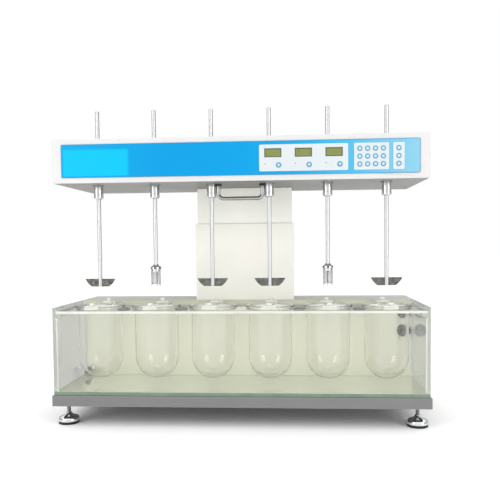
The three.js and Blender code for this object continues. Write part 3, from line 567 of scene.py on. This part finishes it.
acetal = worked("milky_acetal", colour(232, 233, 226), 0.28, drift=0.04, bump=0.00001, grain_scale=700)
flange_top = vessels[0][1].z
clip_deep, tongue_reach, tongue_share, tongue_thick = 0.0085, 0.0125, 0.62, 0.0042
clips = []
for x in vessel_x:
    for y, away, half_width, tall in ((shaft_y + 0.066, 1, 0.0155, 0.0090),
                                      (shaft_y - 0.064, -1, 0.0170, 0.0080)):
        near, far = sorted((y - away * 0.0008, y + away * clip_deep))
        body = slab((x - half_width, near, top + 0.0001), (x + half_width, far, top + tall), 0.0014, 3)
        near, far = sorted((y - away * tongue_reach, y + away * (clip_deep - 0.002)))
        reach = half_width * tongue_share
        tongue = slab((x - reach, near, flange_top + 0.0003), (x + reach, far, flange_top + tongue_thick),
                      0.0011, 3)
        clips += [(body, acetal), (tongue, acetal)]
        knob = top + tall
        clips.append((turned([(0, knob - 0.001), (0.0038, knob - 0.001), (0.0038, knob + 0.0018),
                              (0.0064, knob + 0.0024), (0.0068, knob + 0.0056), (0.0052, knob + 0.0076),
                              (0, knob + 0.0080)], x, y + away * clip_deep * 0.45, 24), acetal))
assemble("vessel_clips", "base", clips)

# ---- Rear housing --------
# A folded sheet cover behind the bath over the heater, the pump and the foot of the column, with
# a screwed access panel in its back. Light grey satin powder coat.

housing_coat = worked("light_grey_coat", colour(190, 192, 184), 0.4, drift=0.04, bump=0.00003,
                      grain_scale=1300, wear=0.25, dust=0.15)
screw_steel = worked("screw_steel", colour(190, 191, 192), 0.28, metallic=1.0, blotch_scale=80)


def screw(radius, height):
    """A pan-head screw with a round socket, standing on z 0."""
    return turned([(0, 0), (radius, 0), (radius, height * 0.45), (radius * 0.78, height),
                   (radius * 0.42, height), (radius * 0.36, height * 0.35), (0, height * 0.35)], steps=20)


def placed(shape, x, y, z, tip):
    """Tips a shape that stands on z 0 about X, by some degrees, and moves it to a place."""
    tipped = Matrix.Translation((x, y, z)) @ Matrix.Rotation(math.radians(tip), 4, "X")
    bmesh.ops.transform(shape, matrix=tipped, verts=shape.verts[:])
    return shape


eased("rear_cover", "base", "rear_housing", housing_coat, "housing_paint", 0.0009)
low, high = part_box("rear_panel")
panel_parts = [(from_cad("rear_panel", 0.0005), housing_coat)]
to_back = -90
screw_inset = 0.012
for x in (low.x + screw_inset, (low.x * 2 + high.x) / 3, (low.x + high.x * 2) / 3, high.x - screw_inset):
    for z in (low.z + screw_inset, high.z - screw_inset):
        panel_parts.append((placed(screw(0.0034, 0.0012), x, high.y, z, to_back), screw_steel))
assemble("access_panel", "base", panel_parts, ["rear_panel"])

# ---- Mains inlet and switch --------
# A black moulded three-pin inlet and a rocker switch, both snapped into the access panel. The
# rocker tips about its middle.

black_plastic = worked("black_moulding", colour(30, 30, 32), 0.38, drift=0.08, bump=0.00002,
                       grain_scale=1600, dust=0.05)
brass = worked("plated_pin", colour(196, 190, 172), 0.25, metallic=1.0, blotch_scale=90)
low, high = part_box("mains_inlet")
middle = (low + high) / 2
inlet_parts = [(from_cad("mains_inlet", 0.0006), black_plastic)]
pin_apart, pin_rise, pin_half_wide, pin_half_tall = 0.007, 0.0022, 0.001, 0.002
for dx, dz in ((-pin_apart, -pin_rise), (0, pin_rise), (pin_apart, -pin_rise)):
    x, z = middle.x + dx, middle.z + dz
    pin = slab((x - pin_half_wide, low.y + 0.0042, z - pin_half_tall),
               (x + pin_half_wide, high.y - 0.004, z + pin_half_tall), 0.0004)
    inlet_parts.append((pin, brass))
assemble("inlet_socket", "base", inlet_parts, ["mains_inlet"])
assemble("rocker", "mains_switch", [(from_cad("mains_switch", 0.0007, 3, 25), black_plastic)],
         ["mains_switch"])

# ---- Water fittings --------
# Two black rubber-flanged suction ports high in the right end of the bath and a chromed return
# nozzle low in the left end, each pushed through the rear wall into the housing.

to_front = 90
wall = wall_front - 0.0003
for node in ("lower_port", "upper_port"):
    low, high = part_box(node)
    middle = (low + high) / 2
    proud, tail = wall - low.y, wall - high.y
    port = turned([(0.0085, tail), (0.0135, tail), (0.0135, 0), (0.0155, 0), (0.0155, proud * 0.62),
                   (0.0148, proud * 0.82), (0.0128, proud * 0.97), (0.0110, proud), (0.0085, proud),
                   (0.0078, proud * 0.7)], steps=40)
    assemble("suction_" + node, "base", [(placed(port, middle.x, wall, middle.z, to_front), rubber)],
             [node])

low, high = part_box("return_nozzle")
middle = (low + high) / 2
proud, tail = wall - low.y, wall - high.y
nozzle = turned([(0.0070, tail), (0.0110, tail), (0.0110, 0), (0.0125, 0), (0.0125, 0.0080), (0.0118, 0.0090),
                 (0.0100, 0.0098), (0.0098, 0.0130), (0.0103, 0.0140), (0.0098, 0.0150),
                 (0.0092, proud - 0.001), (0.0086, proud), (0.0074, proud), (0.0070, proud - 0.001)],
                steps=40)
assemble("water_nozzle", "base", [(placed(nozzle, middle.x, wall, middle.z, to_front), chrome)],
         ["return_nozzle"])

# ---- Heater and pump --------
# A stainless heating tube on two saddles and a small black circulation pump. The housing hides
# both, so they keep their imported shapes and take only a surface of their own.

brushed_steel = worked("brushed_steel", colour(188, 190, 192), 0.24, metallic=1.0, drift=0.03, uneven=0.05,
                       bump=0.000004, grain_scale=500, blotch_scale=14, stretch=(1, 1, 14))
satin_black = worked("satin_black_enamel", colour(54, 58, 62), 0.4, drift=0.08, bump=0.00002, dust=0.15)


def refinish(node, material):
    """Gives a CAD solid that keeps its own mesh a better material."""
    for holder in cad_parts[node].material_slots:
        holder.material = material


refinish("heater_tube", brushed_steel)
refinish("circulation_pump", satin_black)

# ---- Column --------
# A fixed sleeve of folded sheet on the tray and an inner column that slides in it on a black
# plastic collar. Both are the same off-white powder coat; the inner one is coloured a shade
# lighter, painted light against the shade that the head casts on it. The lift actuator and its
# rod are inside.

column_coat = worked("off_white_coat", colour(246, 245, 236), 0.38, drift=0.03, bump=0.00003,
                     grain_scale=1300, dust=0.05)
eased("column_cover", "base", "column_sleeve", column_coat, "column_paint", 0.0009, 3)
# Painted light: the inner column's coat is lighter than the sleeve's, to offset the head's shade.
inner_column_coat_painted_lighter = worked("inner_column_coat_painted_lighter", colour(255, 254, 246), 0.38, drift=0.03, bump=0.00003, grain_scale=1300)
eased("column_slide", "head", "column_inner", inner_column_coat_painted_lighter, "column_paint", 0.0012, 3)
refinish("guide_collar", black_plastic)
refinish("lift_actuator", satin_black)
refinish("lift_rod", chrome)

# ---- Head chassis --------
# The steel plate that closes the head from below, in grey coat, with a bearing housing for each
# spindle and a dark ring round it, painted shade where the chuck goes up into the plate.

chassis_coat = worked("grey_underside_coat", colour(128, 128, 124), 0.5, drift=0.05, bump=0.00003,
                      grain_scale=1300)
# Painted shade: a dark ring under each spindle stands for the shade where the chuck enters the plate.
painted_recess_shade = worked("painted_shade_ring", colour(58, 58, 56), 0.6, drift=0.1)
chassis = [(from_cad("head_chassis", 0.0003), chassis_coat)]
low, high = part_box("head_chassis")
shade_ring_in, shade_ring_out, shade_ring_low, shade_ring_high = 0.0122, 0.0154, low.z + 0.0004, low.z + 0.0016
upside_down = 180
for x in vessel_x:
    chassis.append((turned([(shade_ring_in, shade_ring_low), (shade_ring_out, shade_ring_low), (shade_ring_out, shade_ring_high),
                            (shade_ring_in, shade_ring_high)], x, shaft_y), painted_recess_shade))
for x in (low.x + 0.02, vessel_x[1], vessel_x[4], high.x - 0.02):
    for y in (low.y + 0.018, high.y - 0.018):
        chassis.append((placed(screw(0.0036, 0.0013), x, y, low.z, upside_down), screw_steel))
assemble("underside_plate", "head", chassis, ["head_chassis"])

# ---- Head cover --------
# A shell of folded 2.5 mm sheet over the drive, open below, in fine-textured white powder coat,
# with a plain hole over each spindle for its shaft.

white_coat = worked("white_powder_coat", colour(208, 207, 206), 0.36, drift=0.02, bump=0.00004,
                    grain_scale=1100, dust=0.04)
eased("white_cover", "head", "head_cover", white_coat, "head_paint", 0.0011, 3)

# ---- Fascia --------
# A printed polyester film on a thin plate, stuck to the front of the cover. Its blue is strongest
# left of the middle and pales to the right. A brighter cyan field fills its left end, and a thin
# darker line runs round it.

fascia_film, film_shader = finish("printed_blue_film", colour(10, 169, 236), 0.32)
film_shader.inputs["Specular IOR Level"].default_value = 0.12
low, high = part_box("panel_fascia")
tree = fascia_film.node_tree
where = add_node(tree, "ShaderNodeTexCoord")
axes = add_node(tree, "ShaderNodeSeparateXYZ")
blues = add_node(tree, "ShaderNodeValToRGB")
tree.links.new(where.outputs["Object"], axes.inputs[0])
tree.links.new(mapped(tree, axes.outputs["X"], low.x, high.x), blues.inputs[0])
steps = [(0.0, (6, 152, 206)), (0.30, (2, 141, 200)), (0.52, (3, 144, 202)), (0.68, (26, 154, 204)),
         (0.81, (74, 170, 207)), (0.92, (110, 178, 206)), (1.0, (128, 184, 206))]
while len(blues.color_ramp.elements) < len(steps):
    blues.color_ramp.elements.new(0.5)
for stop, (position, tint) in zip(blues.color_ramp.elements, steps):
    stop.position, stop.color = position, colour(*tint)

field_left, field_right = (-0.4085, -0.4065), (-0.250, -0.258)
field_bottom, field_top = (0.579, 0.583), (0.646, 0.638)
line_width, line_soft = 0.0016, 0.4


def combined(tree, operation, bounds):
    """Soft steps (axis, start, end), each 0 before start and 1 past end, joined by an operation."""
    joined = None
    for axis, start, end in bounds:
        step = mapped(tree, axes.outputs[axis], start, end, kind="SMOOTHSTEP")
        if joined is not None:
            both = add_node(tree, "ShaderNodeMath", operation=operation)
            tree.links.new(joined, both.inputs[0])
            tree.links.new(step, both.inputs[1])
            step = both.outputs[0]
        joined = step
    return joined


field = combined(tree, "MULTIPLY", (("X", *field_left), ("X", *field_right),
                                    ("Z", *field_bottom), ("Z", *field_top)))
borders = (("X", low.x, line_width), ("X", high.x, -line_width),
           ("Z", low.z, line_width), ("Z", high.z, -line_width))
line = combined(tree, "MAXIMUM", [(axis, edge + inwards, edge + inwards * line_soft)
                                  for axis, edge, inwards in borders])
printed = laid_over(tree, blues.outputs[0], colour(4, 176, 216), field)
bordered = laid_over(tree, printed, colour(34, 128, 176), line)
tree.links.new(bordered, film_shader.inputs["Base Color"])
film_marks = add_node(tree, "ShaderNodeGroup", node_tree=surface)
film_marks.inputs["Grain Scale"].default_value = 2200.0
film_relief = add_node(tree, "ShaderNodeBump", Distance=0.00001)
tree.links.new(film_marks.outputs["Grain"], film_relief.inputs["Height"])
tree.links.new(film_relief.outputs[0], film_shader.inputs["Normal"])
eased("blue_fascia", "head", "panel_fascia", fascia_film, "fascia_blue", 0.0003)

# ---- Displays --------
# A white inset panel with three liquid-crystal windows, each in a dark olive frame, and a signal
# lamp at the left below each one. The circuit board behind carries them.

panel_white = worked("white_inset_film", colour(200, 206, 209), 0.4, drift=0.02, bump=0.00001,
                     grain_scale=1500)
lcd_frame = worked("display_frame", colour(82, 84, 72), 0.4, drift=0.08)
lcd_green = worked("display_olive", colour(116, 127, 60), 0.3, drift=0.07, uneven=0.04, bump=0,
                   blotch_scale=60, coat=0.3)
lamp_dark = worked("signal_lamp_lens", colour(120, 128, 120), 0.2, drift=0.1, bump=0)
board_green = worked("board_mask", colour(30, 92, 56), 0.4, drift=0.15, blotch_scale=60)

eased("display_panel", "head", "display_bezel", panel_white, "panel_white", 0.0002)
refinish("display_board", board_green)
bezel_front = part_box("display_bezel")[0].y
frame_width, glass_rounding, glass_depth = 0.0022, 0.0003, 0.0007
for number in (1, 2, 3):
    node = "lcd_%d" % number
    window = slab(*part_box(node))
    front = [f for f in window.faces if f.normal.y < -0.9]
    rim = bmesh.ops.inset_individual(window, faces=front, thickness=frame_width, depth=0.0)["faces"]
    glass = [f for f in window.faces if f.normal.y < -0.9 and f not in rim]
    bmesh.ops.inset_individual(window, faces=glass, thickness=glass_rounding, depth=-glass_depth)
    for face in window.faces:
        face.material_index = 1 if face in glass else 0
    assemble("display_window_%d" % number, "head", [(window, (lcd_frame, lcd_green))], [node])
lamp_x, lamp_z = (0.0632, 0.1325, 0.2018), 0.6022
lens_outline = [(0, 0), (0.0013, 0), (0.0012, 0.0005), (0.0007, 0.0008), (0, 0.0009)]
lamps = [(placed(turned(lens_outline, steps=16), x, bezel_front, lamp_z, to_front), lamp_dark)
         for x in lamp_x]
assemble("signal_lamps", "head", lamps)

# ---- Push buttons and keypads --------
# Three moulded caps that push in beside the displays, and two embossed membrane keypads. Caps and
# domes are dished and blue; a darker rim is painted shade and a pale middle a painted highlight.

# Painted shade and highlight: over the keys' own blue, the darker rim stands for the shade round each dished
# key and the pale middle for its highlight.
key_rim_blue_and_shade = worked("blue_rim_painted_shade", colour(62, 140, 178), 0.4, drift=0.04, bump=0)
key_middle_blue_and_highlight = worked("pale_middle_painted_highlight", colour(176, 208, 218), 0.25, drift=0.05, bump=0, coat=0.5)


def two_tone(shape, middle_radius):
    """Gives the faces within a radius of a turned shape's middle the second material."""
    for face in shape.faces:
        face.material_index = 1 if face.calc_center_median().xy.length < middle_radius else 0
    return shape


for number in (1, 2, 3):
    node = "display_button_%d" % number
    low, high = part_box(node)
    middle = (low + high) / 2
    radius, proud, tail = (high.x - low.x) / 2, bezel_front - low.y, bezel_front - high.y
    rim = radius * 0.56
    cap = turned([(0, tail), (radius, tail), (radius, proud - 0.0006), (radius - 0.0007, proud), (rim, proud),
                  (radius * 0.36, proud - 0.0005), (0, proud - 0.0007)], steps=32)
    cap = placed(two_tone(cap, rim), middle.x, bezel_front, middle.z, to_front)
    assemble("button_cap_%d" % number, node, [(cap, (key_rim_blue_and_shade, key_middle_blue_and_highlight))], [node])

key_pitch, key_rows = 0.0175, 3
film, film_corner = 0.0008, 0.003
dome_radius, dome_rim = 0.0060, 0.0036
for node, columns in (("main_keypad", 4), ("side_keypad", 1)):
    low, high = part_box(node)
    middle = (low + high) / 2
    sheet = soften(panel(high.x - low.x, high.z - low.z, film, film_corner), 0.0002)
    parts = [(placed(sheet, middle.x, high.y, middle.z, to_front), panel_white)]
    proud = high.y - film - low.y
    for column in range(columns):
        for row in range(key_rows):
            dome = turned([(0, -0.0002), (dome_radius, -0.0002), (dome_radius, proud * 0.35),
                           (0.0052, proud * 0.70), (0.0040, proud), (0.0034, proud * 0.82),
                           (0.0018, proud * 0.70), (0, proud * 0.66)], steps=28)
            x = middle.x + (column - (columns - 1) / 2) * key_pitch
            z = middle.z + (row - (key_rows - 1) / 2) * key_pitch
            parts.append((placed(two_tone(dome, dome_rim), x, high.y - film, z, to_front),
                          (key_rim_blue_and_shade, key_middle_blue_and_highlight)))
    assemble("membrane_" + node, "head", parts, [node])

# ---- Lift handle --------
# A bent plated rod under the head, which the operator pulls to bring the head down. A dark
# clamping collar holds each end to the chassis.

low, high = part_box("lift_handle")
rod_radius = 0.0047
bend = 0.012
leg = (high.x - low.x) / 2 - rod_radius
rod = bmesh.new()
start = bmesh.ops.create_circle(rod, cap_ends=False, radius=rod_radius, segments=24,
                                matrix=Matrix.Translation((-leg, shaft_y, high.z)))["verts"]
ring = list({e for v in start for e in v.link_edges})


def push(shape, ring, move):
    """Extrudes a ring of edges along a move, and gives the new ring."""
    made = bmesh.ops.extrude_edge_only(shape, edges=ring)["geom"]
    bmesh.ops.translate(shape, vec=move, verts=[g for g in made if isinstance(g, bmesh.types.BMVert)])
    return [g for g in made if isinstance(g, bmesh.types.BMEdge)]


def bend_round(shape, ring, centre, angle):
    """Sweeps a ring of edges round a centre, and gives the new ring."""
    made = bmesh.ops.spin(shape, geom=ring, cent=centre, axis=(0, 1, 0), angle=math.radians(angle), steps=8,
                          use_merge=False, use_duplicate=False)["geom_last"]
    return [g for g in made if isinstance(g, bmesh.types.BMEdge)]


bar_z = low.z + rod_radius
ring = push(rod, ring, (0, 0, bar_z + bend - high.z))
ring = bend_round(rod, ring, (-leg + bend, shaft_y, bar_z + bend), -90)
ring = push(rod, ring, (2 * (leg - bend), 0, 0))
ring = bend_round(rod, ring, (leg - bend, shaft_y, bar_z + bend), -90)
ring = push(rod, ring, (0, 0, high.z - bar_z - bend))
bmesh.ops.holes_fill(rod, edges=rod.edges[:], sides=0)
bmesh.ops.recalc_face_normals(rod, faces=rod.faces[:])
dark_collar = worked("dark_collar", colour(60, 60, 58), 0.3, metallic=0.6)
# Painted shade: the rod's plate is tinted darker than the chrome, for the dark things it mirrors.
rod_plate_painted_darker = worked("rod_plating_painted_shade", colour(170, 171, 170), 0.12, metallic=1.0, bump=0)
handle = [(rod, rod_plate_painted_darker)]
collar_radius, collar_low = 0.0080, high.z - 0.0052
for x in (-leg, leg):
    collar = [(rod_radius, collar_low), (0.0072, collar_low), (collar_radius, high.z - 0.0044),
              (collar_radius, high.z), (rod_radius, high.z)]
    handle.append((turned(collar, x, shaft_y, 28), dark_collar))
assemble("pull_handle", "head", handle, ["lift_handle"])

# ---- Drive --------
# A black motor on the chassis, its turned pulley, and one rubber belt round all the spindles,
# all under the cover.

turned_aluminium = worked("turned_aluminium", colour(176, 178, 182), 0.3, metallic=1.0, bump=0.00001,
                          grain_scale=700, stretch=(1, 1, 10))
refinish("drive_motor", satin_black)
refinish("drive_belt", rubber)
refinish("motor_pulley", turned_aluminium)

# ---- Spindles --------
# Six hollow steel spindles. Below the head each ends in a bright chuck that grips the shaft at any
# height; above, it carries its belt pulley.

bright_steel = worked("bright_turned_steel", colour(208, 209, 210), 0.16, metallic=1.0, drift=0.02,
                      uneven=0.04, bump=0, blotch_scale=30)
bore, body_radius, chuck, ring_deep = 0.0052, 0.009, 0.0115, 0.0005
pulley_rise, pulley_tall, flange_thick, groove_deep = 0.065, 0.016, 0.002, 0.002
head_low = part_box("head_chassis")[0].z
chuck_top = head_low + 0.0017
pulley_low = head_low + pulley_rise
pulley_high = pulley_low + pulley_tall
for number, x in enumerate(vessel_x, 1):
    node = "spindle_%d" % number
    low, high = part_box(node)
    flange = (high.x - low.x) / 2
    groove = flange - groove_deep
    outline = [(bore, low.z + 0.0006), (bore + 0.0006, low.z), (chuck - 0.0024, low.z),
               (chuck - 0.0012, low.z + 0.0008), (chuck - 0.0004, low.z + 0.0026), (chuck, low.z + 0.0034),
               (chuck, low.z + 0.0100), (chuck - ring_deep, low.z + 0.0104),
               (chuck - ring_deep, low.z + 0.0116), (chuck, low.z + 0.0120), (chuck, chuck_top),
               (body_radius, chuck_top), (body_radius, pulley_low), (flange, pulley_low),
               (flange, pulley_low + flange_thick), (groove, pulley_low + flange_thick),
               (groove, pulley_high - flange_thick), (flange, pulley_high - flange_thick),
               (flange, pulley_high), (body_radius, pulley_high), (body_radius, high.z), (bore, high.z)]
    assemble("chuck_" + node, node, [(turned(outline, x, shaft_y, 40), bright_steel)], [node])

# ---- Stirring shafts, paddles and baskets --------
# Ground and polished stainless shafts. Four carry a paddle, a slice of a disc with a 74.5 mm top
# edge; the second and fifth carry a vented disc with three spring clips and a mesh basket.

shaft_steel = worked("polished_shaft_steel", colour(202, 203, 204), 0.36, metallic=1.0, drift=0.02,
                     uneven=0.04, bump=0, blotch_scale=30)
# Painted shade and reflections: the blades, of the same steel as the shafts, are coloured much darker, with
# large light and dark patches.
dark_painted_blade_metal = worked("blade_metal_painted_shade", colour(118, 118, 113), 0.22, metallic=1.0, drift=0.55, uneven=0.15,
                      bump=0, blotch_scale=90)
painted_vent_shade = worked("vent_shadow", colour(34, 34, 33), 0.7)
shaft_radius, dome_rise = 0.0049, 0.0034


def shaft_top(height):
    """The domed upper end of a shaft."""
    return [(radius, height - dome_rise + (rise * dome_rise / shaft_radius))
            for radius, rise in arc(shaft_radius, 0, 0, 90, 6)]


blade_radius, top_chord, bottom_chord, blade_tall, blade_thick = 0.0415, 0.0745, 0.042, 0.019, 0.004
top_cut, bottom_cut = [-math.sqrt(blade_radius ** 2 - (chord / 2) ** 2)
                       for chord in (top_chord, bottom_chord)]
for number in (1, 3, 4, 6):
    node = "paddle_shaft_%d" % number
    low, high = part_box(node)
    x = vessel_x[number - 1]
    shaft_low = low.z + 0.0005
    shaft = turned([(0, shaft_low), (shaft_radius, shaft_low)] + shaft_top(high.z), x, shaft_y, 36)
    blade = bmesh.new()
    bmesh.ops.create_circle(blade, cap_ends=True, radius=blade_radius, segments=160)
    for height, side in ((top_cut, 1), (bottom_cut, -1)):
        bmesh.ops.bisect_plane(blade, geom=blade.verts[:] + blade.edges[:] + blade.faces[:],
                               plane_co=(0, height, 0), plane_no=(0, side, 0), clear_outer=True)
    drawn_out(blade, blade.faces[:], (0, 0, blade_thick))
    bmesh.ops.translate(blade, vec=(0, -bottom_cut, 0), verts=blade.verts[:])
    bmesh.ops.scale(blade, vec=(1, blade_tall / (top_cut - bottom_cut), 1), verts=blade.verts[:])
    soften(blade, 0.0006, 2, 40)
    placed(blade, x, shaft_y + blade_thick / 2, low.z, to_front)
    assemble("paddle_%d" % number, "shaft_%d" % number, [(shaft, shaft_steel), (blade, dark_painted_blade_metal)],
             [node])


def swung(shape, degrees, x):
    """Swings a shape about the Z axis and moves it to the shaft at x."""
    turn = Matrix.Translation((x, shaft_y, 0)) @ Matrix.Rotation(math.radians(degrees), 4, "Z")
    bmesh.ops.transform(shape, matrix=turn, verts=shape.verts[:])
    return shape


hub_radius, vent_half, prong_half, prong_long, prong_narrows = 0.0127, 0.0025, 0.0025, 0.0048, 0.45
wire, mesh_columns, mesh_cuts = 0.00032, 44, 25
for number in (2, 5):
    shaft_node, cup_node = "basket_shaft_%d" % number, "basket_%d" % number
    low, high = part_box(shaft_node)
    cup_low, cup_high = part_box(cup_node)
    x = vessel_x[number - 1]
    cup = (cup_high.x - cup_low.x) / 2
    disc = cup_high.z + 0.0003
    plug = cup - 0.0017
    hub = [(0, disc - 0.003), (plug, disc - 0.003), (plug, disc), (0.0124, disc),
           (hub_radius, disc + 0.0003), (hub_radius, disc + 0.0046), (0.0121, disc + 0.0054),
           (0.0084, disc + 0.0080), (0.0066, disc + 0.0102), (0.0056, disc + 0.0125),
           (shaft_radius, disc + 0.0150)] + shaft_top(high.z)
    parts = [(turned(hub, x, shaft_y, 40), shaft_steel)]
    # The vents are dark slabs on the disc, painted shade in place of open holes.
    for degrees in (-60, 0, 60, 120, 180, 240):
        vent = slab((-vent_half, -0.01300, disc + 0.0008), (vent_half, -0.0120, disc + 0.0046), 0.0004)
        parts.append((swung(vent, degrees, x), painted_vent_shade))
    for degrees in (-60, 60, 180):
        prong = slab((-prong_half, -0.01265, cup_low.z - prong_long), (prong_half, -0.01190, disc + 0.0012),
                     0.0003)
        tip = [v for v in prong.verts if v.co.z < cup_low.z]
        bmesh.ops.scale(prong, vec=(prong_narrows, 1, 1), verts=tip)
        parts.append((swung(prong, degrees, x), shaft_steel))
    assemble("basket_holder_%d" % number, "shaft_%d" % number, parts, [shaft_node])

    mesh_low, mesh_high = cup_low.z + 0.0012, cup_high.z - 0.0060
    mesh_radius = cup - 0.0004
    weave = bmesh.new()
    bmesh.ops.create_cone(weave, cap_ends=False, segments=mesh_columns, radius1=mesh_radius,
                          radius2=mesh_radius, depth=mesh_high - mesh_low,
                          matrix=Matrix.Translation((x, shaft_y, (mesh_low + mesh_high) / 2)))
    upright = [e for e in weave.edges if abs(e.verts[0].co.z - e.verts[1].co.z) > 0.01]
    bmesh.ops.subdivide_edges(weave, edges=upright, cuts=mesh_cuts, use_grid_fill=True)
    bmesh.ops.wireframe(weave, faces=weave.faces[:], thickness=wire, use_replace=True, use_even_offset=True)
    rim_low, rim_inside = cup_high.z - 0.0062, cup - 0.0008
    rim = turned([(rim_inside, rim_low), (cup, rim_low), (cup, cup_high.z), (rim_inside, cup_high.z)],
                 x, shaft_y)
    base = turned([(0, cup_low.z + 0.0006), (cup - 0.0010, cup_low.z + 0.0006),
                   (cup - 0.0010, cup_low.z + 0.0026), (cup, cup_low.z + 0.0026), (cup, cup_low.z + 0.0004),
                   (cup - 0.0006, cup_low.z), (0, cup_low.z)], x, shaft_y)
    assemble("mesh_" + cup_node, cup_node, [(part, shaft_steel) for part in (weave, rim, base)],
             [cup_node])
